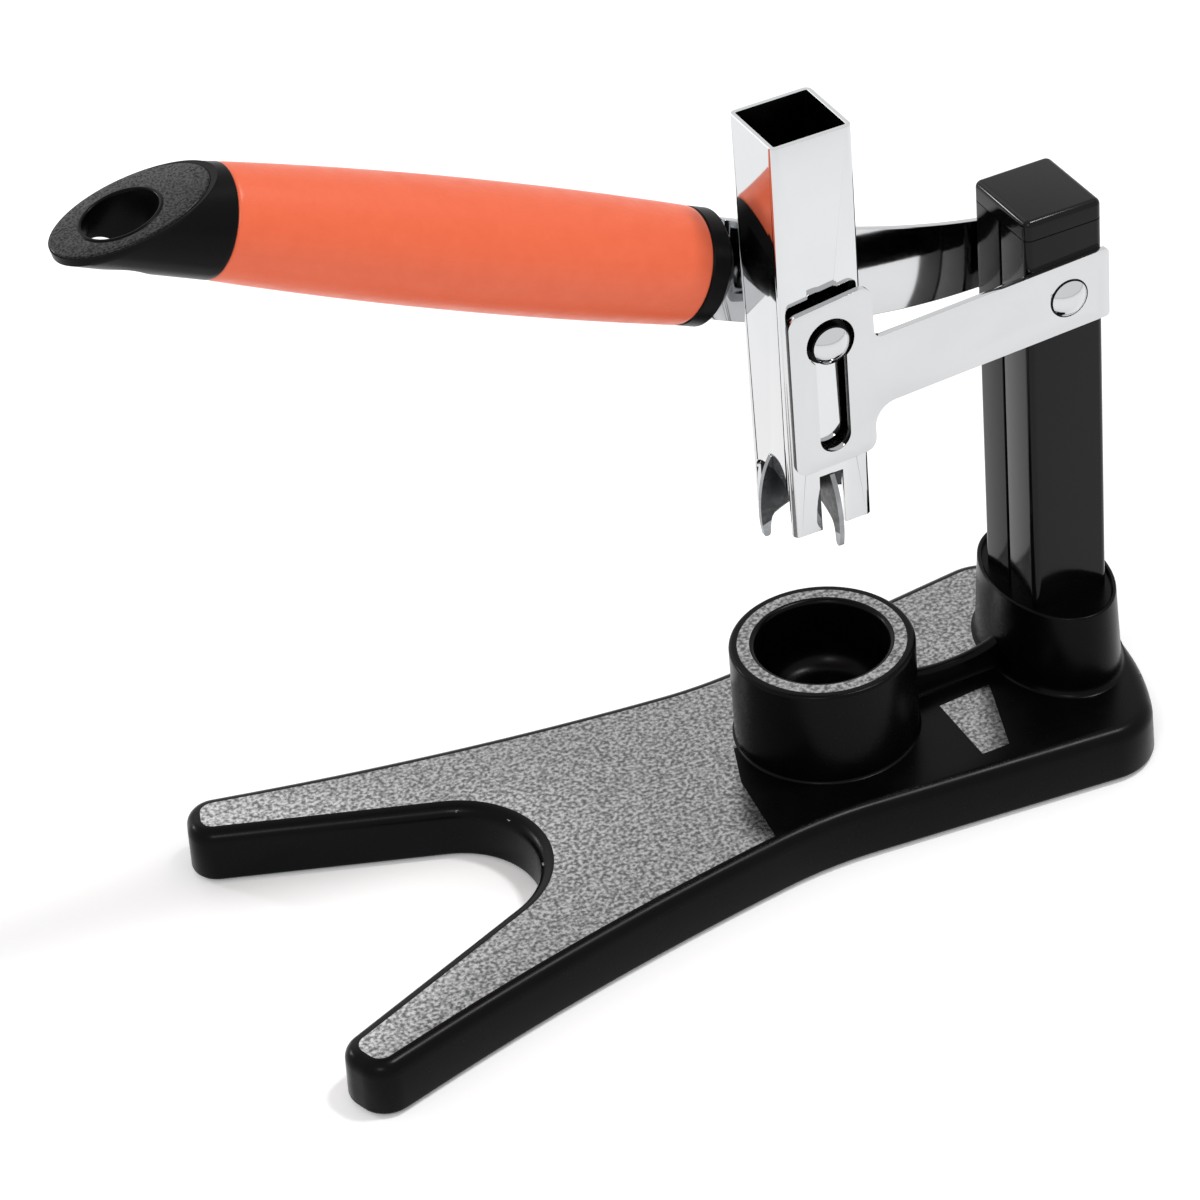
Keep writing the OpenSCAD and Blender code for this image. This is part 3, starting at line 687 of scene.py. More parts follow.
# Thermoplastic rubber, moulded with a leather grain: orange, satin, soft to the eye
ORANGE_TPR = SoftTouch("orange_thermoplastic_rubber", "#EC6B45", "#E2603A", 0.36, 0.06, ior=1.42,
                       patch_mm=5.0)
# Synthetic rubber, moulded: black and matt
BLACK_RUBBER = Moulded("black_rubber", "#202020", "#292929", 0.75, 0.05, grit_mm=0.6)


# Pieces


@dataclass
class Kit:
    """What the sub-assemblies share: sizes, main places, and the way that each piece joins in."""

    # From the post's axis to the cutter's, and the drive pin's rise above the pivot and diameter
    reach: float = 61.0
    pin_rise: float = 9.5
    pin_d: float = 5.0
    # The lever's arc: its radius, its slope at the pivot and its slope at the handle
    lever_r: float = 180.0
    lever_a0: float = 2.5
    slope: float = 24.4
    made: dict[str, bpy.types.Material] = field(default_factory=dict)

    def __post_init__(self) -> None:
        """Reads the pivot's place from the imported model."""
        low, high = (np.array(corner) * 1000 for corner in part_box("pivot_rivet"))
        self.pivot = np.array([(low[0] + high[0]) / 2, 0.0, (low[2] + high[2]) / 2])
        self.post = self.pivot * [1.0, 1.0, 0.0]

    def material(self, finish: Finish) -> bpy.types.Material:
        """The finish's material, made the first time.

        Args:
            finish: The finish.

        Returns:
            Its material.
        """
        if finish.name not in self.made:
            self.made[finish.name] = finish.build()
        return self.made[finish.name]

    def present(
        self,
        name: str,
        shell: Shell,
        finishes: Sequence[Finish],
        body: Body,
        slot: Slot,
        nodes: Sequence[str],
        crease: float = 30.0,
        edge: float = 0.0,
    ) -> bpy.types.Object:
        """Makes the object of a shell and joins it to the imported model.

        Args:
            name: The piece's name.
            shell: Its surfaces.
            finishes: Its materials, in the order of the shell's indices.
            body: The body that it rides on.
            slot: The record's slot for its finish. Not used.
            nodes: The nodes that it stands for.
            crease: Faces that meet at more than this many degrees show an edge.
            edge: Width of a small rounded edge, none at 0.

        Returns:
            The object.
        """
        piece = show(name, shell.mesh(name))
        for finish in finishes:
            piece.data.materials.append(self.material(finish))
        if edge:
            bevel = piece.modifiers.new("edge", "BEVEL")
            bevel.width, bevel.segments = edge / 1000, 2
            bevel.limit_method, bevel.angle_limit = "ANGLE", math.radians(40)
            bevel.use_clamp_overlap = True
        self.settle(piece, crease)
        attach(piece, body.value)
        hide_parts(*nodes)
        LOG.info("%s: %d faces on %s", name, len(piece.data.polygons), body.value)
        return piece

    @staticmethod
    def settle(piece: bpy.types.Object, crease: float) -> None:
        """Puts the result of a piece's modifiers into its mesh, and shades it.

        Args:
            piece: The piece.
            crease: Faces that meet at more than this many degrees show an edge.
        """
        if piece.modifiers:
            bpy.context.view_layer.update()
            graph = bpy.context.evaluated_depsgraph_get()
            mesh = bpy.data.meshes.new_from_object(piece.evaluated_get(graph))
            piece.modifiers.clear()
            piece.data = mesh
        piece.data.shade_smooth()
        piece.data.set_sharp_from_angle(angle=math.radians(crease))


@dataclass
class Stand:
    """The black stand: the forked base with its cup, web and collar, the post, cap and feet."""

    kit: Kit
    # The base: its levels, and its outline from the prongs to the tail, from the post's axis
    rim: float = 0.8
    top: float = 14.4
    wall: float = 2.6
    edge: float = 3.5
    draft: float = 0.3
    fork_reach: float = 207.0
    fork_w: float = 114.0
    prong_w: float = 17.0
    prong_taper: float = 0.925
    prong_a: float = 18.5
    prong_r: float = 7.0
    prong_end: float = 2.9
    crotch_x: float = 140.0
    crotch_r: float = 21.0
    shoulder_x: float = 140.0
    shoulder_w: float = 79.5
    waist_x: float = 78.0
    waist_w: float = 64.0
    waist_r: float = 100.0
    tail_w: float = 82.0
    tail_x: float = 5.59
    tail_corner_r: float = 14.0
    tail_slant: float = 25.8
    # The part of its flat top painted glossy black as the painted shade of the cup and the post,
    # and the grained patch within it where light falls between them
    painted_shade_zone: tuple[tuple[float, float], ...] = (
        (-84.0, 4.0), (-88.5, -8.3), (-91.0, -30.0), (-92.0, -60.0), (60.0, -60.0), (60.0, 60.0),
        (4.0, 60.0), (4.0, 24.0), (-14.0, 1.0), (-61.0, 4.0))
    lit_gap_patch: tuple[tuple[float, float], ...] = (
        (-34.6, -7.8), (-20.4, -6.7), (-28.0, -29.0), (-35.2, -29.0))
    # The cup, the oval collar round the post's foot, and the web between them
    cup_d: float = 44.0
    cup_bore: float = 31.5
    cup_top: float = 39.7
    cup_depth: float = 18.0
    collar_x: float = 28.4
    collar_y: float = 44.0
    collar_top: float = 36.4
    web_t: float = 3.0
    web_h: float = 6.0
    # Below the top: the ribs, the round well under the cup, and the bosses over the feet
    rib_y: tuple[float, ...] = (-20.0, 0.0, 20.0)
    rib_x0: float = -178.0
    rib_pitch: float = 19.0
    well_r: float = 11.65
    boss_r: float = 7.0
    boss_top: float = 12.0
    # The post, its cap, the feet with their distances from the base's ends and sides, and the
    # socket below the collar with the screw's hole and recess
    post_x: float = 20.0
    post_y: float = 23.4
    post_r: float = 1.8
    pocket: float = 6.8
    post_top: float = 137.4
    cap_h: float = 5.0
    cap_r: float = 1.5
    foot_d: float = 12.0
    foot_h: float = 2.4
    prong_foot: tuple[float, float] = (16.0, -11.8)
    tail_foot: tuple[float, float] = (-12.0, -13.0)
    screw_r: float = 2.6
    screw_head_r: float = 4.9
    recess_top: float = 3.8
    socket_top: float = 13.0

    def base_corners(self) -> list[Corner]:
        """The base's control corners about the post's axis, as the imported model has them.

        The crotch's point is where the prong's inner side, which touches the crotch's circle,
        meets the middle line. The arcs of the shoulder and of the tail's end are as large as the
        lines between them allow: each arc takes r tan(|turn| / 2) of a line.

        Returns:
            The corners, anticlockwise from the middle of the tail.
        """
        out = np.array([-self.fork_reach + self.prong_end, self.fork_w / 2])
        inn = out - self.prong_w * self.prong_taper * direction(self.prong_a)[::-1]
        middle = np.array([-self.crotch_x - self.crotch_r, 0.0])
        far = float(np.linalg.norm(inn - middle))
        angle = math.atan2(inn[1], inn[0] - middle[0]) + math.asin(self.crotch_r / far) - math.pi
        crotch = np.array([inn[0] + inn[1] / math.tan(-angle), 0.0])
        shoulder = np.array([-self.shoulder_x, self.shoulder_w / 2])
        waist = np.array([-self.waist_x, self.waist_w / 2])
        tail = np.array([self.tail_x, self.tail_w / 2])
        point = np.array([
            self.tail_x + self.tail_w / 2 * math.tan(math.radians(self.tail_slant)), 0.0])
        shoulder_t, waist_t, tail_t, prong_t = (
            math.tan(math.radians(abs(turn_at(a, b, c))) / 2) for a, b, c in (
                (out, shoulder, waist), (shoulder, waist, tail), (waist, tail, point),
                (shoulder, out, inn)))
        shoulder_r = min(np.linalg.norm(out - shoulder) - self.prong_r * prong_t - 0.1,
                         np.linalg.norm(shoulder - waist) - self.waist_r * waist_t - 1
                         ) / shoulder_t
        tail_r = (np.linalg.norm(tail - point) - self.tail_corner_r * tail_t - 0.1
                  ) / math.tan(math.radians(self.tail_slant))
        side = [(tail, self.tail_corner_r, 6), (waist, self.waist_r, 4),
                (shoulder, shoulder_r, 6), (out, self.prong_r, 6), (inn, self.prong_r, 6)]
        other = [(corner * [1, -1], radius, steps) for corner, radius, steps in side[::-1]]
        return [(point, tail_r, 8), *side, (crotch, self.crotch_r, 16), *other]

    def foot_places(self) -> dict[str, np.ndarray]:
        """Where each rubber foot sits, from the post's axis.

        Returns:
            Places, by the names of the feet's nodes.
        """
        prong = np.array([-self.fork_reach, self.fork_w / 2, 0.0]) + [*self.prong_foot, 0.0]
        tail = np.array([self.tail_x, self.tail_w / 2, 0.0]) + [*self.tail_foot, 0.0]
        return {"foot_prong_near": prong * [1, -1, 1], "foot_prong_far": prong,
                "foot_tail_near": tail * [1, -1, 1], "foot_tail_far": tail}

    @staticmethod
    def spans(line: np.ndarray, across: int, at: float) -> np.ndarray:
        """Where a straight cut crosses a closed outline, as sorted pairs.

        Args:
            line: The outline.
            across: The coordinate that is fixed, 0 or 1.
            at: Its value.

        Returns:
            Pairs of the other coordinate between which the cut lies inside.
        """
        a, b = line, np.roll(line, -1, axis=0)
        hit = (a[:, across] > at) != (b[:, across] > at)
        part = (at - a[hit, across]) / (b[hit, across] - a[hit, across])
        other = 1 - across
        return np.sort(a[hit, other] + part * (b[hit, other] - a[hit, other])).reshape(-1, 2)

    def plate(self, shell: Shell, corners: Sequence[Corner]) -> None:
        """Adds the base's plate: rings from the hollow, round the rim and the top edge.

        Ring (inset, z) is the outline moved in by inset at height z. The top edge is a quarter
        circle: inset = draft + r (1 - cos a), z = top - r + r sin a. The flat top is grained,
        and glossy black as painted shade within its zone but not in the lit patch. The well goes
        up into the cup.

        Args:
            shell: The base's shell.
            corners: The outline's corners.
        """

        def ring(inset: float, z: float) -> np.ndarray:
            """The outline moved in by inset, at height z."""
            return lift(outline(corners, inset, 3), z) + self.kit.post

        hollow, ceiling = self.wall + 0.2, self.top - self.wall
        angle = np.radians(np.linspace(0, 90, 9))
        edge = np.stack([self.draft + self.edge * (1 - np.cos(angle)),
                         self.top - self.edge + self.edge * np.sin(angle)], axis=1)
        rows = [(hollow, ceiling), (hollow, self.rim), (1.0, self.rim), (0.5, self.rim + 0.12),
                (0.15, self.rim + 0.45), (0.0, self.rim + 1.0), *edge.tolist()]
        shell.grid(np.stack([ring(*row) for row in rows]), finish=1, ends=False)
        # Within the zone the top is painted glossy black as the painted shade of the cup and the
        # post; the patch stays grained and lit
        zones = [np.array(self.painted_shade_zone), np.array(self.lit_gap_patch)]
        lines = np.concatenate([np.stack([zone, np.roll(zone, -1, axis=0)], 1) for zone in zones])
        net, faces = fill([outline(corners, rows[-1][0], 3)], lines)
        shell.add(lift(net, self.top) + self.kit.post, faces,
                  within(net[faces].mean(axis=1), zones))
        well = np.array([-self.kit.reach, 0.0]) + self.well_r * direction(np.arange(64) * 360 / 64)
        net, faces = fill([outline(corners, hollow, 3), well])
        shell.add(lift(net, ceiling) + self.kit.post, faces[:, ::-1], 1)
        floor = self.cup_top - self.cup_depth - self.wall
        shell.grid(np.stack([lift(well, ceiling), lift(well, floor)]) + self.kit.post,
                   finish=1, ends=False)
        shell.add(lift(well, floor) + self.kit.post, [range(len(well))], 1)
        self.ribs(shell, outline(corners, hollow - 1, 3))

    def ribs(self, shell: Shell, line: np.ndarray) -> None:
        """Adds the ribs below the top: a lattice of bars, each cut off inside the rim.

        Args:
            shell: The base's shell.
            line: The outline inside which the bars lie.
        """
        box = rounded_box(2.0, 2.0, 0.01, steps=1)[::2]
        bars = [box * [(x1 - x0) / 2, 1.0] + [(x0 + x1) / 2, y]
                for y in self.rib_y for x0, x1 in self.spans(line, 1, y)]
        bars += [box * [1.0, (y1 - y0) / 2] + [x, (y0 + y1) / 2]
                 for x in np.arange(self.rib_x0, self.tail_x + 7, self.rib_pitch)
                 for y0, y1 in self.spans(line, 0, x)]
        for bar in bars:
            ends = [lift(bar, self.rim + 1), lift(bar, self.top - 1)]
            shell.grid(np.stack(ends) + self.kit.post)

    def sockets(self, shell: Shell) -> None:
        """Adds the bosses over the rubber feet, and the socket that takes the post and its screw.

        Args:
            shell: The base's shell.
        """
        r, foot, low = self.boss_r, self.foot_d / 2 + 0.1, self.rim + 0.25
        boss = np.array([[0, self.foot_h], [foot, self.foot_h], [foot, low], [r, low],
                         [r, self.boss_top], [0, self.boss_top]])
        for place in self.foot_places().values():
            shell.grid(lathe(boss, self.kit.post + place, UPRIGHT, 48), 1)
        circle, oval = direction(np.arange(64) * 360 / 64), self.oval(0.0)[::2]
        seat = [lift(circle * self.screw_r, self.recess_top),
                lift(circle * self.screw_head_r, self.recess_top),
                lift(circle * self.screw_head_r, low), lift(oval, low),
                lift(oval, self.socket_top)]
        shell.grid(np.stack(seat) + self.kit.post, 1)

    def oval(self, grow: float) -> np.ndarray:
        """The collar's oval outline, grown by a margin, in 128 points."""
        half = np.array([self.collar_x, self.collar_y]) / 2 + grow
        return direction(np.arange(128) * 360 / 128) * half

    def cup(self, shell: Shell) -> None:
        """Adds the cup: a turned profile with a flared foot, a rounded lip and a round hollow.

        Args:
            shell: The base's shell. Only the flat of the rim is grained.
        """
        r, b, floor = self.cup_d / 2, self.cup_bore / 2, self.cup_top - self.cup_depth
        side = soft_path([
            ((r + 0.7, self.top - 0.02), 0, 1), ((r, self.top), 0.68, 10),
            ((r, self.cup_top), 0.9, 8), ((r - 2, self.cup_top), 0, 1)])
        hollow = soft_path([
            ((r - 2, self.cup_top), 0, 1), ((b + 0.1, self.cup_top), 1.3, 8),
            ((b - 0.6, floor), 5.5, 14), ((0, floor), 0, 1)])
        origin = self.kit.post - [self.kit.reach, 0, 0]
        under = np.array([[r + 0.7, self.top - 0.02], [r + 0.7, self.top - 1],
                          [0, self.top - 1]])
        for profile, finish in ((side[1:], 1), (hollow[:2], 0), (hollow[1:], 1), (under, 1)):
            shell.grid(lathe(profile, origin, UPRIGHT, 128), finish, ends=False)

    def collar(self, shell: Shell) -> None:
        """Adds the collar: rings of an oval that flare towards the base, with a thin lip.

        Ring (grow, z) is the oval grown by grow at height z. The foot is a quarter of an oval, and
        the lip a half circle.

        Args:
            shell: The base's shell.
        """
        flare, foot, lip = 1.0, 1.2, 0.55
        down = np.radians(np.linspace(0, 90, 9))
        over = np.radians(np.linspace(0, 180, 11))
        rows = [(flare + foot + 0.1, self.top - 1), (flare + foot, self.top - 0.05)]
        rows += np.stack([flare + foot * (1 - np.sin(down)),
                          self.top + foot * (1 - np.cos(down)) * 2], axis=1).tolist()[1:]
        rows += np.stack([lip * (np.cos(over) - 1),
                          self.collar_top - lip + lip * np.sin(over)], axis=1).tolist()
        rows += [(-2 * lip - 0.2, self.collar_top - 1.2)]
        shell.grid(np.stack([lift(self.oval(grow), z) for grow, z in rows]) + self.kit.post, 1)

    def web(self, shell: Shell) -> None:
        """Adds the web: a wall with a round top whose height follows a curve between the ends.

        At each station x the section is y = w cos a, z = h - w + w sin a over the top, with a
        foot that widens by 0.8 at the base.

        Args:
            shell: The base's shell.
        """
        x0, x1 = -self.kit.reach + self.cup_d / 2 - 1, -self.collar_x / 2 + 0.5
        line = curve((x0, self.web_h + 2), (x0 + 7, self.web_h - 1), (x1 - 6, self.web_h - 1),
                     (x1, self.web_h + 2.5), np.linspace(0, 1, 40))
        half = self.web_t / 2
        over = np.radians(np.linspace(180, 0, 13))
        y = np.concatenate([[-half - 0.8, -half - 0.3, -half], half * np.cos(over),
                            [half, half + 0.3, half + 0.8]])
        up = np.concatenate([[0, 0, 0], half * (np.sin(over) - 1), [0, 0, 0]])
        free = np.concatenate([[0, 0, 0], np.ones(len(over)), [0, 0, 0]])
        foot = np.concatenate([[-1.0, 0.3, 1.1], np.zeros(len(over)), [1.1, 0.3, -1.0]])
        z = self.top + line[:, 1:] * free + up + foot
        points = np.stack([np.broadcast_to(line[:, :1], z.shape), np.broadcast_to(y, z.shape), z],
                          axis=-1)
        shell.grid(points + self.kit.post, 1)

    def base(self) -> None:
        """The base moulding: its parts are closed shells that run into each other."""
        shell = Shell()
        self.plate(shell, self.base_corners())
        for add in (self.sockets, self.cup, self.collar, self.web):
            add(shell)
        self.kit.present("base_moulding", shell, [GRAINED_ABS, GLOSS_ABS_AND_PAINTED_SHADE], Body.STAND, Slot.BASE,
                         ["base"], crease=35)

    def post_piece(self) -> None:
        """The post: its outline, with the seam's groove on the side towards the cup, lifted."""
        x, y, r = self.post_x / 2, self.post_y / 2, self.post_r
        groove = [((-x, 0.4), 0.25, 3), ((-x + 0.9, 0.4), 0.2, 2), ((-x + 0.9, -0.4), 0.2, 2),
                  ((-x, -0.4), 0.25, 3)]
        line = outline([((-x, -y), r, 8), ((x, -y), r, 8), ((x, y), r, 8), ((-x, y), r, 8),
                        *groove])
        rows = [lift(line, self.pocket), lift(line, self.post_top)]
        shell = Shell().grid(np.stack(rows) + self.kit.post, ends=False)
        net, faces = fill([line])
        for height in (self.pocket, self.post_top):
            shell.add(lift(net, height) + self.kit.post, faces)
        self.kit.present("post_tube", shell, [POWDER_COAT], Body.STAND, Slot.POST, ["post"])

    def cap_piece(self) -> None:
        """The cap: rings of the post's outline over a quarter circle at its top edge."""
        r, top = self.cap_r, self.post_top + self.cap_h
        angle = np.radians(np.linspace(0, 90, 9))
        rows = [(0.25, self.post_top + 0.02), (0.0, self.post_top + 0.25)]
        rows += np.stack([r * (1 - np.cos(angle)), top - r + r * np.sin(angle)], 1).tolist()
        rings = [lift(rounded_box(self.post_x, self.post_y, self.post_r, inset, 8), z)
                 for inset, z in rows]
        shell = Shell().grid(np.stack(rings) + self.kit.post)
        self.kit.present("post_top_cap", shell, [POWDER_COAT], Body.STAND, Slot.POST,
                         ["post_cap"])

    def feet(self) -> None:
        """The four rubber feet: turned discs with a soft lower edge."""
        r, h = self.foot_d / 2, self.foot_h
        profile = soft_path([((0, 0), 0, 1), ((r, 0), 0.8, 6), ((r, h), 0.1, 2), ((0, h), 0, 1)])
        for node, place in self.foot_places().items():
            shell = Shell().grid(lathe(profile, self.kit.post + place, UPRIGHT, 64), ends=False)
            self.kit.present(f"{node}_pad", shell, [BLACK_RUBBER], Body.STAND, Slot.FOOT, [node])

    def hidden_steel(self) -> None:
        """Gives the hidden plug and screw, which keep their shape, a plated finish."""
        for node in ("post_plug", "post_screw"):
            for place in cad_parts[node].material_slots:
                place.material = self.kit.material(ZINC_PLATE)

    def build(self) -> None:
        """Builds the whole stand."""
        self.base()
        self.post_piece()
        self.cap_piece()
        self.feet()
        self.hidden_steel()


@dataclass
class Linkage:
    """The steel plates and pins: the guide plate, the lever plate and what joins them."""

    kit: Kit
    # Where the plates' faces lie on Y
    post_side: float = 11.7
    guide_front: float = -13.2
    guide_back: float = -11.7
    lever_in: float = 13.4
    lever_out: float = 14.9
    # The guide plate: its head, its arm, and its keyhole slot, from the pivot
    head_w: float = 21.0
    head_up: float = 20.2
    head_down: float = 23.0
    arm_w: float = 18.0
    arm_end: float = 10.6
    arm_slope: float = 2.6
    keyhole_r: float = 6.0
    slot_r: float = 3.88
    slot_end: float = -15.05
    # The pins and the bush
    bush_d: float = 7.6
    rivet_d: float = 6.0
    head_d: float = 8.9
    head_h: float = 2.2
    head_rim: float = 0.3
    # The lever plate: its height at the pivot and at the handle, and its tang
    lever_h0: float = 16.5
    lever_h1: float = 24.5
    seat_s: float = 12.312
    tang_h: float = 13.5
    tang_l: float = 55.0
    # The rounded edge of both plates
    edge: float = 0.22

    def upright(self, y: float) -> Callable[[np.ndarray], np.ndarray]:
        """A function that stands flat points up, for a plate's front or back.

        Args:
            y: Where the face lies.

        Returns:
            The function, from points (x, z) about the pivot to points in the model.
        """

        def stand(flat: np.ndarray) -> np.ndarray:
            """Points (x, z) stood up at y."""
            x, z = flat.T
            return self.kit.pivot + np.column_stack([x, np.full(len(flat), y), z])

        return stand

    def guide(self) -> None:
        """The guide plate: its outline with the keyhole slot and the rivet's hole.

        Its back, the slot's walls and its left and lower edges mirror nothing bright in the
        photograph, so they are painted dark, as painted shade.
        """
        tilt = 0.97 * math.tan(math.radians(self.arm_slope))

        def arm(x: float, side: int) -> float:
            """Height of the arm's upper (1) or lower (-1) edge at x."""
            return side * self.arm_w / 2 + 0.3 + x * tilt

        left, right = -self.kit.reach - self.head_w / 2, -self.kit.reach + self.head_w / 2
        end = self.arm_end
        line = outline([
            ((left + 0.3, -self.head_down), 3, 8),
            ((right - 0.2, -self.head_down + 1), 3, 8),
            ((right - 0.2, arm(right, -1)), 5.5, 12),
            ((end, arm(end, -1)), 1, 4),
            ((end, arm(end, 1)), 1, 4),
            ((right + 0.5, arm(right, 1)), 2, 8),
            ((right + 0.3, self.head_up + 1.2), 3, 8),
            ((left + 0.3, self.head_up - 1.2), 3, 8),
        ])
        meet = math.degrees(math.acos(self.slot_r / self.keyhole_r))
        big = self.keyhole_r * direction(np.linspace(-meet, 180 + meet, 40)) + [
            -self.kit.reach, self.kit.pin_rise + 0.5]
        small = self.slot_r * direction(np.linspace(180, 360, 24)) + [
            -self.kit.reach, self.slot_end]
        hole = self.rivet_d / 2 * direction(np.arange(48) * 7.5)
        shell = Shell().sheet([line, np.concatenate([big, small]), hole],
                              self.upright(self.guide_front), self.upright(self.guide_back),
                              finishes=(0, 1))
        points = np.concatenate(shell.points) - self.kit.pivot
        # Faces in the slot and along the left and lower edges take the dark finish: painted shade
        for index, face in enumerate(shell.faces):
            x, _, z = points[face].mean(axis=0)
            in_slot = abs(x + self.kit.reach) < self.keyhole_r + 0.1 and abs(z) < self.head_up - 2
            if len(face) == 4 and (in_slot or x < left + 1 or z < 1 - self.head_down):
                shell.finishes[index] = 1
        self.kit.present("guide_plate_sheet", shell, [MIRROR_SHEET, PAINTED_SHADE_STEEL], Body.STAND,
                         Slot.POLISHED, ["guide_plate"], crease=25, edge=self.edge)

    def lever_outline(self) -> np.ndarray:
        """The lever plate's outline: a band along an arc that widens from the pivot, and a tang.

        Along the arc, a runs from a0 to the handle's slope, and the band's half height is
        (h0 + (h1 - h0) sin 90t) / 2.

        Returns:
            Points (x, z) about the pivot.
        """
        t = np.linspace(0, 1, 33)[1:]
        a = np.radians(self.kit.lever_a0 + (self.kit.slope - self.kit.lever_a0) * t)
        a0 = math.radians(self.kit.lever_a0)
        half = (self.lever_h0 + (self.lever_h1 - self.lever_h0) * np.sin(t * math.pi / 2)) / 2
        middle = self.kit.lever_r * np.stack([np.sin(a0) - np.sin(a), np.cos(a0) - np.cos(a)], 1)
        across = np.stack([np.sin(a), np.cos(a)], 1) * half[:, None]
        slope = math.radians(self.kit.slope)
        along = np.array([-math.cos(slope), math.sin(slope)])
        up = np.array([math.sin(slope), math.cos(slope)])
        h, g, seat = self.lever_h1 / 2, self.tang_h / 2, middle[-1] + (self.seat_s - 0.1) * along
        tip = seat + self.tang_l * along
        tang = np.array([seat + h * up, seat + g * up, tip + g * up, tip - g * up, seat - g * up,
                         seat - h * up])
        nose = self.lever_h0 / 2 * direction(-90 - self.kit.lever_a0 + np.linspace(0, 180, 33))
        return np.concatenate([middle + across, tang, (middle - across)[::-1], nose])

    def lever(self) -> None:
        """The lever plate: its outline with the pivot's hole and the drive pin's long hole.

        The long hole points at the pivot, so that it takes up the lever's arc.
        """
        slant = math.degrees(math.atan2(self.kit.pin_rise, self.kit.reach))
        r = self.kit.pin_d / 2 + 0.25
        long_hole = np.concatenate([
            r * direction(np.linspace(90, 270, 20)) - [1.7, 0],
            r * direction(np.linspace(-90, 90, 20)) + [0.95, 0]])
        c, s = direction(-slant)
        long_hole = long_hole @ np.array([[c, s], [-s, c]]) + [-self.kit.reach, self.kit.pin_rise]
        hole = (self.rivet_d / 2 + 0.08) * direction(np.arange(48) * 7.5)
        shell = Shell().sheet([self.lever_outline(), long_hole, hole],
                              self.upright(self.lever_in), self.upright(self.lever_out))
        self.kit.present("lever_plate_sheet", shell, [MIRROR_SHEET], Body.LEVER, Slot.POLISHED,
                         ["lever_plate"], crease=25, edge=self.edge)

    def pin(self, name: str, node: str, body: Body, place: np.ndarray, near: float, far: float,
            shank: float, heads: tuple[float, float]) -> None:
        """A pin with a domed head at each end, and a thin dark ring under its near head as painted
        shade.

        Args:
            name: The piece's name.
            node: The node that it stands for.
            body: The body that it rides on.
            place: A point on its axis.
            near: Where its shank ends on -Y.
            far: Where its shank ends on +Y.
            shank: The shank's diameter.
            heads: Diameters of the near and the far head.
        """
        rim, seat = self.head_rim, heads[0] / 2 + 0.38
        first = dome(heads[0], self.head_h - rim) * [1, -1] + [0, near - rim]
        last = dome(heads[1], self.head_h - 0.4) + [0, far]
        under = np.array([[heads[0] / 2, near - 0.12], [heads[0] / 2 - 0.3, near - 0.06],
                          [shank / 2, near - 0.06], [shank / 2, far]])
        profile = np.concatenate([first[::-1], under, last])
        axis = place * [1, 0, 1]
        shell = Shell().grid(lathe(profile, axis, THROUGH), ends=False)
        self.kit.present(name, shell, [MIRROR_SHEET], body, Slot.POLISHED, [node], crease=40)
        # A thin near-black ring under the near head: painted shade round the head's edge
        ring = np.array([[shank / 2, near], [seat, near], [seat, near - 0.09],
                         [shank / 2, near - 0.09]])
        shell = Shell().grid(lathe(ring, axis, THROUGH), wrap=True)
        self.kit.present(f"{name}_painted_shade_ring", shell, [PAINTED_SHADE_STEEL], body, Slot.POLISHED, [])

    def ring(self, name: str, node: str, body: Body, place: np.ndarray, bore: float,
             steps: Sequence[tuple[float, float, float]]) -> None:
        """A washer or bush: a closed profile turned about Y.

        Args:
            name: The piece's name.
            node: The node that it stands for.
            body: The body that it rides on.
            place: A point on its axis.
            bore: Diameter of its hole.
            steps: For each step its diameter, and where it starts and ends on Y.
        """
        line = [((bore / 2, steps[0][1]), 0.05, 1)]
        for index, (diameter, y0, y1) in enumerate(steps):
            line += [((diameter / 2, y0), 0.15 if index == 0 else 0.05, 3),
                     ((diameter / 2, y1), 0.15, 3)]
        line += [((bore / 2, steps[-1][2]), 0.05, 1)]
        shell = Shell().grid(lathe(outline(line), place * [1, 0, 1], THROUGH, 72), wrap=True)
        # The guide bush is painted near-black as the shade inside the guide plate's slot
        finish = PAINTED_SHADE_STEEL if node == "guide_bush" else MIRROR_SHEET
        self.kit.present(name, shell, [finish], body, Slot.POLISHED, [node])

    def build(self) -> None:
        """Builds the plates, the pins, the bush and the washers."""
        pivot = self.kit.pivot
        drive = pivot + [-self.kit.reach, 0, self.kit.pin_rise]
        self.guide()
        self.lever()
        self.pin("pivot_rivet_domed", "pivot_rivet", Body.STAND, pivot, self.guide_front,
                 self.lever_out + 0.1, self.rivet_d, (self.head_d, self.head_d))
        self.pin("drive_pin_domed", "drive_pin", Body.CUTTER, drive, self.guide_front - 0.2,
                 self.lever_out + 1.0, self.kit.pin_d, (self.head_d, self.head_d - 1.4))
        self.ring("pivot_washer_disc", "pivot_washer", Body.STAND, pivot, 6.16,
                  [(self.lever_h0 - 2.5, self.post_side, self.post_side + 1.6)])
        self.ring("guide_bush_stepped", "guide_bush", Body.CUTTER, drive, 5.1,
                  [(self.bush_d, self.guide_front - 0.2, self.guide_back + 0.2),
                   (2 * self.keyhole_r - 0.8, self.guide_back + 0.2, -10.0)])
        self.ring("drive_spacer_sleeve", "drive_spacer", Body.CUTTER, drive, 5.1,
                  [(self.kit.pin_d + 4, 10.0, self.lever_in - 0.2)])
        self.ring("drive_washer_disc", "drive_washer", Body.CUTTER, drive, 5.1,
                  [(self.kit.pin_d + 5.5, self.lever_out + 0.2, self.lever_out + 1.0)])


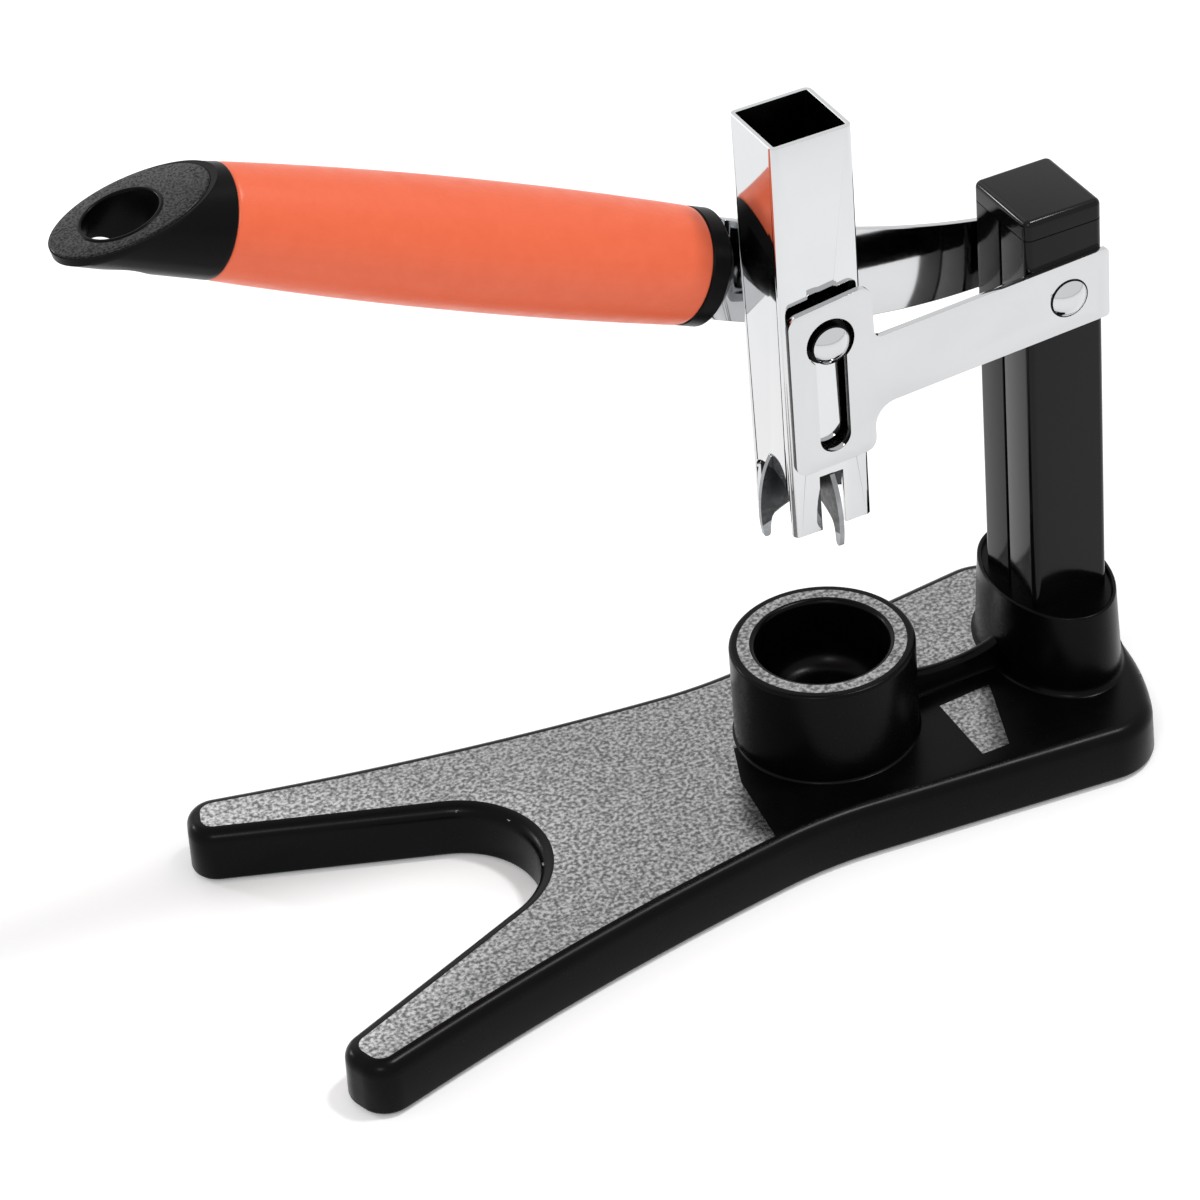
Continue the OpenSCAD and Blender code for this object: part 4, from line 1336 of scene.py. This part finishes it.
@dataclass
class Handle:
    """The handle: the black ferrule and core, the orange grip, and the slanted end cap."""

    kit: Kit
    # The lever plate's middle on Y, and distances along the handle from the end of the arc
    plate_y: float = 14.15
    ferrule_s: float = 7.812
    grip_s: float = 18.112
    cap_s: float = 134.712
    tip_s: float = 168.812
    # The grip's diameters: at the ferrule, at its middle and at the end cap
    grip_d0: float = 26.6
    grip_d1: float = 28.6
    grip_d2: float = 24.8
    core_d: float = 16.5
    # The end cap: its slanted oval face, and the hanging hole with its tilt
    slant: float = 36.0
    face_l: float = 36.8
    hang_d: float = 15.5
    hang_a: float = 10.0
    hang_shift: float = 1.7
    cap_crease: float = 35.0
    cap_finishes: tuple[Finish, ...] = (FINE_BLACK, SATIN_BLACK)

    def __post_init__(self) -> None:
        """Works out the handle's own frame: s along its axis, v up from it, and y."""
        a, a0 = math.radians(self.kit.slope), math.radians(self.kit.lever_a0)
        self.along = np.array([-math.cos(a), 0.0, math.sin(a)])
        self.up = np.array([math.sin(a), 0.0, math.cos(a)])
        self.start = self.kit.pivot + [
            -self.kit.lever_r * (math.sin(a) - math.sin(a0)), self.plate_y,
            self.kit.lever_r * (math.cos(a0) - math.cos(a))]

    def place(self, v: np.ndarray, y: np.ndarray, s: np.ndarray) -> np.ndarray:
        """Points of the handle's frame, in the model's.

        Args:
            v: Distances up from the handle's axis.
            y: Distances across it.
            s: Distances along it.

        Returns:
            An array of points, of the arguments' common shape and (x, y, z).
        """
        v, y, s = np.broadcast_arrays(v, y, s)
        return (self.start + v[..., None] * self.up + y[..., None] * np.array([0.0, 1.0, 0.0])
                + s[..., None] * self.along)

    def ferrule(self) -> None:
        """The core: a profile turned about the handle's axis, domed towards the lever plate."""
        r = self.grip_d0 / 2
        front = curve((4.5, self.ferrule_s), (8, self.ferrule_s + 1.2),
                      (r - 1.8, self.ferrule_s + 4), (r, self.ferrule_s + 6),
                      np.linspace(0, 1, 20))
        profile = np.concatenate([
            [[0, self.ferrule_s]], front,
            [[r, self.grip_s - 0.3], [r - 0.3, self.grip_s], [self.core_d / 2, self.grip_s],
             [self.core_d / 2, self.cap_s + 7], [0, self.cap_s + 7]]])
        shell = Shell().grid(lathe(profile, self.start, self.along, 128), ends=False)
        self.kit.present("handle_ferrule", shell, [SATIN_BLACK], Body.LEVER, Slot.HANDLE,
                         ["handle_core"], crease=35)

    def grip(self) -> None:
        """The grip: a barrelled profile, r(t) a cubic from end to end, with soft end edges.

        At a distance d from an end the edge falls away by 0.45 e^(-d / 0.35).
        """
        t, near_end = np.linspace(0, 1, 60), np.linspace(0.15, 1.5, 6)
        radius = curve((self.grip_d0 / 2,), (self.grip_d1 / 2 + 0.55,), (self.grip_d1 / 2 + 0.35,),
                       (self.grip_d2 / 2,), t)[:, 0]
        s = self.grip_s + (self.cap_s - self.grip_s) * t
        fine = np.sort(np.concatenate([s, self.grip_s + near_end, self.cap_s - near_end]))
        radius = np.interp(fine, s, radius) - 0.45 * (
            np.exp(-(fine - self.grip_s) / 0.35) + np.exp(-(self.cap_s - fine) / 0.35))
        body = np.stack([radius, fine], axis=1)
        bore = self.core_d / 2 + 0.1
        profile = np.concatenate([[[bore, self.grip_s]], body, [[bore, self.cap_s]]])
        shell = Shell().grid(lathe(profile, self.start, self.along, 160), wrap=True)
        self.kit.present("grip_sleeve", shell, [ORANGE_TPR], Body.LEVER, Slot.GRIP, ["grip"],
                         crease=60)

    def end_cap(self) -> None:
        """The end cap: rings from the grip's circle to the slanted oval, and a hole cut through.

        Ring k of the neck is circle (1 - w) + cut w, point by point. The face's oval lies in a
        plane tilted by the slant: its long direction is (v, s) = (sin, -cos) and its normal
        (cos, sin) of the slant.
        """
        c, s = direction(self.slant)
        r = self.grip_d2 / 2
        half, b = self.face_l / 2, r - 0.4
        mid_s = self.tip_s - half * c
        mid_v = -r + 2.3 + half * s
        ring = direction(np.arange(160) * 2.25)

        def on_face(q: np.ndarray, y: np.ndarray, out: float | np.ndarray) -> np.ndarray:
            """Points q along the face's long direction and y across it, moved out of its plane."""
            return self.place(mid_v + q * s + out * c, y, mid_s - q * c + out * s)

        def oval(shrink: float, out: float) -> np.ndarray:
            """The face's oval, smaller by shrink, moved out of its plane."""
            return on_face((half - shrink) * ring[:, 0], (b - shrink) * ring[:, 1], out)

        def circle(grow: float, at: float) -> np.ndarray:
            """The circle of the grip's end, larger by grow, at a distance along the handle."""
            return self.place((r + grow) * ring[:, 0], (r + grow) * ring[:, 1], np.array(at))

        def cut(out: float, drop: float) -> np.ndarray:
            """The neck's slanted end: the oval, drawn out to the neck's own round at its top.

            The long half is half + 1.6 ((1 + cos t) / 2)^2, and the ring lies out - drop
            (1 - cos t) / 2 off the face's plane, so that the neck is deepest below the tip.

            Args:
                out: How far the ring's top lies off the face's plane.
                drop: How much further off its lowest point lies.

            Returns:
                The ring's points.
            """
            top = (1 + ring[:, 0]) / 2
            return on_face((half - 0.05 + 1.6 * top**2) * ring[:, 0], (b + 0.2) * ring[:, 1],
                           out - drop * (1 - top))

        near, end = circle(0.0, self.cap_s + 0.4), cut(-0.36, 1.9)
        w = np.linspace(0, 1, 24)[:, None, None]
        angle = np.radians(np.linspace(0, 90, 6))
        rim = [oval(0.2 + 0.5 * (1 - math.cos(a)), -0.5 + 0.5 * math.sin(a)) for a in angle]
        rows = [circle(-0.35, self.cap_s), circle(-0.1, self.cap_s + 0.12),
                *(near * (1 - w) + end * w), cut(-0.34, 0.9), cut(-0.32, 0.0)]
        shell = Shell().grid(np.stack([*rows, oval(0.12, -0.34), oval(0.16, -0.75)]), 1,
                             ends=False)
        whole = range(len(ring))
        shell.add(rows[0], [whole[::-1]], 1)
        shell.grid(np.stack([oval(0.16, -0.75), oval(0.2, -0.7), *rim]), 0, ends=False)
        shell.add(rim[-1], [whole], 0)
        piece = self.kit.present("end_cap_slanted", shell, self.cap_finishes, Body.LEVER,
                                 Slot.HANDLE, ["end_cap"], crease=self.cap_crease)
        hang_s = mid_s + self.hang_shift
        hang_v = mid_v + (mid_s - hang_s) * s / c
        self.bore(piece, hang_v, hang_s)
        self.hole_rim(hang_v, hang_s)

    def bore(self, piece: bpy.types.Object, hang_v: float, hang_s: float) -> None:
        """Cuts the hanging hole: a round bore, a little out of square with the handle's axis.

        Args:
            piece: The end cap.
            hang_v: The hole's middle, up from the handle's axis.
            hang_s: The hole's middle, along it.
        """
        c, s = direction(self.hang_a)
        r = self.hang_d / 2
        profile = np.array([[0, -45.0], [r, -45.0], [r, 20.0], [0, 20.0]])
        origin = self.start + hang_v * self.up + hang_s * self.along
        axis = c * self.up + s * self.along
        shell = Shell().grid(lathe(profile, origin, axis), finish=1, ends=False)
        tool = show("hanging_hole", shell.mesh("hanging_hole"))
        for finish in self.cap_finishes:
            tool.data.materials.append(self.kit.material(finish))
        cut = piece.modifiers.new("hole", "BOOLEAN")
        cut.object, cut.operation, cut.solver = tool, "DIFFERENCE", "EXACT"
        self.kit.settle(piece, self.cap_crease)
        bpy.data.objects.remove(tool)

    def hole_rim(self, hang_v: float, hang_s: float) -> None:
        """The thin raised ring round the hole: a small oval section carried along its edge.

        With the bore's axis a and its level b at right angles, the edge on the slanted face is
        r (cos t (b - a tan(slant - tilt)) + y sin t) round the hole's middle.

        Args:
            hang_v: The hole's middle, up from the handle's axis.
            hang_s: The hole's middle, along it.
        """
        c, s = direction(self.slant)
        ca, sa = direction(self.hang_a)
        lean = math.tan(math.radians(self.slant - self.hang_a))
        ring = direction(np.arange(128) * 360 / 128)
        section = direction(np.arange(12) * 30)
        out = -0.1 + 0.4 * section[:, 1:]
        radius = self.hang_d / 2 + 0.35 + 0.45 * section[:, :1]
        across, y = radius * ring[:, 0], radius * ring[:, 1]
        v = hang_v + across * (-sa - lean * ca) + out * c
        points = self.place(v, y, hang_s + across * (ca - lean * sa) + out * s)
        shell = Shell().grid(points, wrap=True)
        self.kit.present("hanging_hole_rim", shell, [SATIN_BLACK], Body.LEVER, Slot.HANDLE, [])

    def build(self) -> None:
        """Builds the handle."""
        self.ferrule()
        self.grip()
        self.end_cap()


@dataclass
class Cutter:
    """The cutter: the square tube, and the two blades that cross in its lower end."""

    kit: Kit
    # The tube, whose lower end is the origin, down below the pivot
    width: float = 20.0
    wall: float = 1.2
    radius: float = 1.6
    length: float = 102.3
    down: float = 41.6
    edge: float = 0.18
    # The blades
    blade_t: float = 1.2
    blade_reach: float = 13.9
    blade_top: float = 19.6
    blade_arch: float = 4.6
    blade_grind: float = 0.9
    # The openings at the tube's end: narrow slots near and far, arches left and right
    slot_w: float = 5.9
    arch_w: float = 15.6
    fit: float = 0.1

    def __post_init__(self) -> None:
        """Places the tube's lower end below the drive pin."""
        self.origin = self.kit.pivot + [-self.kit.reach, 0.0, -self.down]

    def arch(self) -> np.ndarray:
        """Right half of an opening's edge at a side, from the tube's end up to the slit.

        Returns:
            Points (p, z), p being measured from the side's middle.
        """
        w, slit = self.arch_w / 2, self.blade_t / 2 + self.fit
        side = curve((w, 9.5), (w, 12.6), (w - 2.4, 13.6), (slit + 0.9, 13.9),
                     np.linspace(0, 1, 14))
        return np.concatenate([[[w, 0.0]], side, [[slit, 14.3], [slit, self.blade_top - 2]]])

    def tube(self) -> None:
        """The tube: its flat pattern, folded round the section.

        The flat pattern has p round the outside and z along the tube. Outside and inside stand
        over the same p: the section's outline with inset 0 and with inset wall.
        """
        outside = rounded_box(self.width, self.width, self.radius, 0.0, 8)
        inside = rounded_box(self.width, self.width, self.radius, self.wall, 8)
        outside, inside = (np.concatenate([ring, ring[:1]]) for ring in (outside, inside))
        p = np.concatenate([[0.0], np.cumsum(np.linalg.norm(np.diff(outside, axis=0), axis=1))])
        total, corner = p[-1], p[8]
        centre = corner + (self.width / 2 - self.radius)
        near, right, far, left = (centre + k * total / 4 for k in range(4))
        w, top, half = self.slot_w / 2, self.blade_top - 5, self.arch()
        slot = np.array([[-w, 0], [-w, top], [w, top], [w, 0]])
        arch = np.concatenate([half * [-1, 1], half[::-1]])
        bottom = np.concatenate([
            [[0.0, 0.0]], slot + [near, 0], arch + [right, 0], slot + [far, 0],
            arch + [left, 0], [[total, 0.0]]])
        loop = np.concatenate([bottom, [[total, self.length], [0.0, self.length]]])
        hole = (self.kit.pin_d / 2 + 0.05) * direction(np.arange(40) * 9.0)
        height = self.down + self.kit.pin_rise
        loops = [loop, hole + [near, height], hole + [far, height]]
        folds = p[1:-1]
        ruled = np.stack([lift(folds[:, None], -1.0), lift(folds[:, None], self.length + 1)], 1)

        def fold(section: np.ndarray, flat: np.ndarray) -> np.ndarray:
            """Stands flat points (p, z) on a section's outline."""
            x, y = (np.interp(flat[:, 0], p, section[:, k]) for k in (0, 1))
            return self.origin + np.column_stack([x, y, flat[:, 1]])

        # The tube's inside takes the dark finish: painted shade
        shell = Shell().sheet(loops, partial(fold, outside), partial(fold, inside), ruled, (0, 1))
        self.kit.present("cutter_tube_folded", shell, [MIRROR_TUBE, DULL_BORE_PAINTED_SHADE], Body.CUTTER,
                         Slot.TUBE, ["cutter_tube"], crease=25, edge=self.edge)

    def blade_half(self, ear_top: float, ground: float, notch_below: bool) -> np.ndarray:
        """Right half of a blade's outline, from the notch at the middle round to it.

        Args:
            ear_top: Height of the ear's upper edge above the tube's end.
            ground: How far the lower edge is ground up at this depth.
            notch_below: Whether the half-lap notch opens downwards.

        Returns:
            Points (x, z), the same number for every depth.
        """
        lap = self.blade_t / 2 + self.fit
        lap_z = (self.blade_arch + self.blade_top) / 2
        arch = curve((0, self.blade_arch + ground), (4, self.blade_arch - 0.4 + ground),
                     (8.6, 2.6 + ground), (10.2, 1.4 + ground), np.linspace(0.12, 1, 14))
        tip = self.blade_reach - 1.5
        tine = curve((10.9, 0.4 + ground), (11.4, -1.2 + ground), (11.5, -1.6), (tip - 0.9, -2.6),
                     np.linspace(0, 1, 6))
        point = np.array([tip, -3.2]) + direction(np.linspace(215, 350, 7)) * [0.8, 0.5]
        ear = curve(point[-1] + [0.06, 0.5], (self.blade_reach + 0.1, 0.5),
                    (self.blade_reach + 0.5, ear_top - 6.5), (self.width / 2 + 0.3, ear_top),
                    np.linspace(0.05, 1, 16))
        inner = self.width / 2 - self.wall - self.fit
        foot = self.blade_arch + ground
        return np.concatenate([
            [[lap, lap_z if notch_below else foot - 0.02], [lap + 0.01, foot - 0.1]], arch,
            tine, point, ear,
            [[inner, ear_top], [inner, self.blade_top], [lap + 0.01, self.blade_top - 0.01],
             [lap, self.blade_top if notch_below else lap_z]]])

    def blade(self, name: str, node: str, ear_top: float, notch_below: bool,
              crosswise: bool) -> None:
        """A blade: outlines at depths through its thickness, ground back on both faces.

        At depth y the lower edge stands higher by g |y| / (t / 2), g being the ground height, but
        for a narrow flat at the middle. The flat faces are ground bright below the tube's end, and
        painted dark above it as the shade inside the tube.

        Args:
            name: The piece's name.
            node: The node that it stands for.
            ear_top: Height of its ears above the tube's end.
            notch_below: Whether its half-lap notch opens downwards.
            crosswise: Whether it lies along Y.
        """

        def stand(flat: np.ndarray, depth: float) -> np.ndarray:
            """Points (x, z) of the blade at one depth, from -1 to 1, in the model."""
            x, y = flat[:, 0], np.full(len(flat), depth * self.blade_t / 2)
            return self.origin + np.column_stack([*((-y, x) if crosswise else (x, y)), flat[:, 1]])

        wholes = {}
        for depth in (-1.0, -0.5, -0.08, 0.08, 0.5, 1.0):
            ground = self.blade_grind * abs(depth) if abs(depth) > 0.1 else 0.0
            half = self.blade_half(ear_top, ground, notch_below)
            wholes[depth] = np.concatenate([half, half[::-1] * [-1, 1]])
        rings = [stand(whole, depth) for depth, whole in wholes.items()]
        shell = Shell().grid(np.stack(rings), ends=False)
        for depth in (-1.0, 1.0):
            net, faces = fill([wholes[depth]])
            # Flat faces above the tube's end take the dark finish: painted shade
            shell.add(stand(net, depth), faces, net[faces, 1].mean(axis=1) > 0)
        self.kit.present(name, shell, [GROUND_STEEL, BLADE_STEEL_PAINTED_SHADE], Body.CUTTER, Slot.BLADE,
                         [node], crease=20)

    def build(self) -> None:
        """Builds the tube and its blades."""
        self.tube()
        self.blade("blade_lengthwise_ground", "blade_lengthwise", self.blade_top - 2.1,
                   notch_below=True, crosswise=False)
        self.blade("blade_crosswise_ground", "blade_crosswise", self.blade_top - 5.1,
                   notch_below=False, crosswise=True)


# Studio


@dataclass
class Studio:
    """The floor, the light and the camera."""

    kit: Kit
    # The photograph's camera: angles in degrees, distance and shifts in millimetres, and lens
    azimuth: float = 66.825
    elevation: float = 36.268
    roll: float = -5.552
    distance: float = 1018.62
    focal_px: float = 4466.31
    shift_x: float = 100.143
    shift_y: float = 74.832
    image_px: int = 1200
    sensor: float = 36.0
    # The floor's half side in metres, the strengths of its glow and of the dome's light, and the
    # point in metres that the lamps face
    floor_half: float = 6.0
    floor_glow: float = 0.14
    dome_light: float = 0.57
    aim: tuple[float, float, float] = (0.0, 0.0, 0.08)

    @staticmethod
    def seen(tree: bpy.types.NodeTree) -> bpy.types.NodeSocket:
        """1 for a ray from the camera or from a mirror, and 0 for others."""
        path = add_node(tree, "ShaderNodeLightPath", {})
        return add_node(tree, "ShaderNodeMath", {
            0: path.outputs["Is Camera Ray"], 1: path.outputs["Is Glossy Ray"]},
            operation="MAXIMUM").outputs[0]

    def camera(self) -> None:
        """Sets up the photograph's view: the camera's axes from its azimuth, tilt and roll."""
        (ca, sa), (ce, se), (cr, sr) = (direction(a) for a in (
            self.azimuth, self.elevation, self.roll))
        forward = np.array([ca * ce, sa * ce, -se])
        level = np.array([sa, -ca, 0.0])
        upright = np.cross(level, forward)
        right = cr * level + sr * upright
        up = -sr * level + cr * upright
        centre = (self.kit.pivot - self.shift_x * right - self.shift_y * up
                  - self.distance * forward) / 1000
        data = bpy.data.cameras.new("photo_view")
        data.sensor_width = self.sensor
        data.lens = self.focal_px * self.sensor / self.image_px
        data.dof.use_dof = False
        view = show("photo_view", data)
        axes = Matrix([*zip(right, up, -forward)]).to_4x4()
        view.matrix_world = Matrix.Translation(Vector(centre)) @ axes
        bpy.context.scene.camera = view

    def floor(self) -> None:
        """Lays a wide white floor: matt, so that it keeps the opener's soft shadow.

        Where the camera or a mirror sees it, a little glow brings its plain parts up to white.
        """
        material = bpy.data.materials.new("matt_white_floor")
        material.use_nodes = True
        tree = material.node_tree
        tree.nodes.clear()
        place = add_node(tree, "ShaderNodeTexCoord", {}).outputs["Object"]
        grain = add_node(tree, "ShaderNodeTexNoise", {"Vector": place, "Scale": per_metre(3.0)})
        bump = add_node(tree, "ShaderNodeBump", {
            "Height": grain.outputs["Fac"], "Distance": 0.00002})
        shader = add_node(tree, "ShaderNodeBsdfPrincipled", {
            "Base Color": linear("#FFFFFF"), "Roughness": 0.9, "Specular IOR Level": 0.0,
            "Normal": bump.outputs["Normal"]})
        glow = add_node(tree, "ShaderNodeMath", {
            0: self.seen(tree), 1: self.floor_glow}, operation="MULTIPLY")
        lit = add_node(tree, "ShaderNodeEmission", {"Strength": glow.outputs[0]})
        both = add_node(tree, "ShaderNodeAddShader", {
            0: shader.outputs["BSDF"], 1: lit.outputs["Emission"]})
        add_node(tree, "ShaderNodeOutputMaterial", {"Surface": both.outputs[0]})
        mesh = bpy.data.meshes.new("floor")
        half = self.floor_half
        mesh.from_pydata([(-half, -half, 0), (half, -half, 0), (half, half, 0), (-half, half, 0)],
                         [], [(0, 1, 2, 3)])
        mesh.materials.append(material)
        show("floor", mesh)

    def world(self) -> None:
        """Lights the scene from a soft dome, which the camera and mirrors see as white."""
        world = bpy.data.worlds.new("white_dome")
        bpy.context.scene.world = world
        world.use_nodes = True
        tree = world.node_tree
        tree.nodes.clear()
        white = linear("#FFFFFF")
        light = add_node(tree, "ShaderNodeBackground", {
            "Color": white, "Strength": self.dome_light})
        shown = add_node(tree, "ShaderNodeBackground", {"Color": white, "Strength": 1.0})
        mixed = add_node(tree, "ShaderNodeMixShader", {
            0: self.seen(tree), 1: light.outputs[0], 2: shown.outputs[0]})
        add_node(tree, "ShaderNodeOutputWorld", {"Surface": mixed.outputs[0]})

    def lamp(self, name: str, place: tuple[float, float, float], size: float,
             power: float) -> None:
        """Hangs a square soft lamp that faces the opener.

        Args:
            name: The lamp's name.
            place: Its middle, in metres.
            size: Its side, in metres.
            power: Its power, in watts.
        """
        data = bpy.data.lights.new(name, "AREA")
        data.size, data.energy = size, power
        turn = (Vector(self.aim) - Vector(place)).to_track_quat("-Z", "Y")
        show(name, data).matrix_world = Matrix.Translation(place) @ turn.to_matrix().to_4x4()

    def build(self) -> None:
        """Sets up the camera, the floor and the light."""
        scene = bpy.context.scene
        scene.view_settings.view_transform = "Standard"
        self.camera()
        self.floor()
        self.world()
        self.lamp("soft_key", (-0.9, -1.1, 1.5), 0.35, 6.5)
        self.lamp("top_edge", (0.62, -0.25, 1.6), 0.22, 11.0)
        self.lamp("back_edge", (-0.95, 1.25, 0.62), 0.22, 5.0)
        self.lamp("back_sheen", (-0.1, 1.4, 1.0), 0.9, 2.2)


def main() -> None:
    """Builds the opener piece by piece."""
    logging.basicConfig(level=logging.INFO, format="%(message)s")
    kit = Kit()
    Studio(kit).build()
    Stand(kit).build()
    Linkage(kit).build()
    Handle(kit).build()
    Cutter(kit).build()
    bpy.context.view_layer.update()


if __name__ == "__main__":
    main()
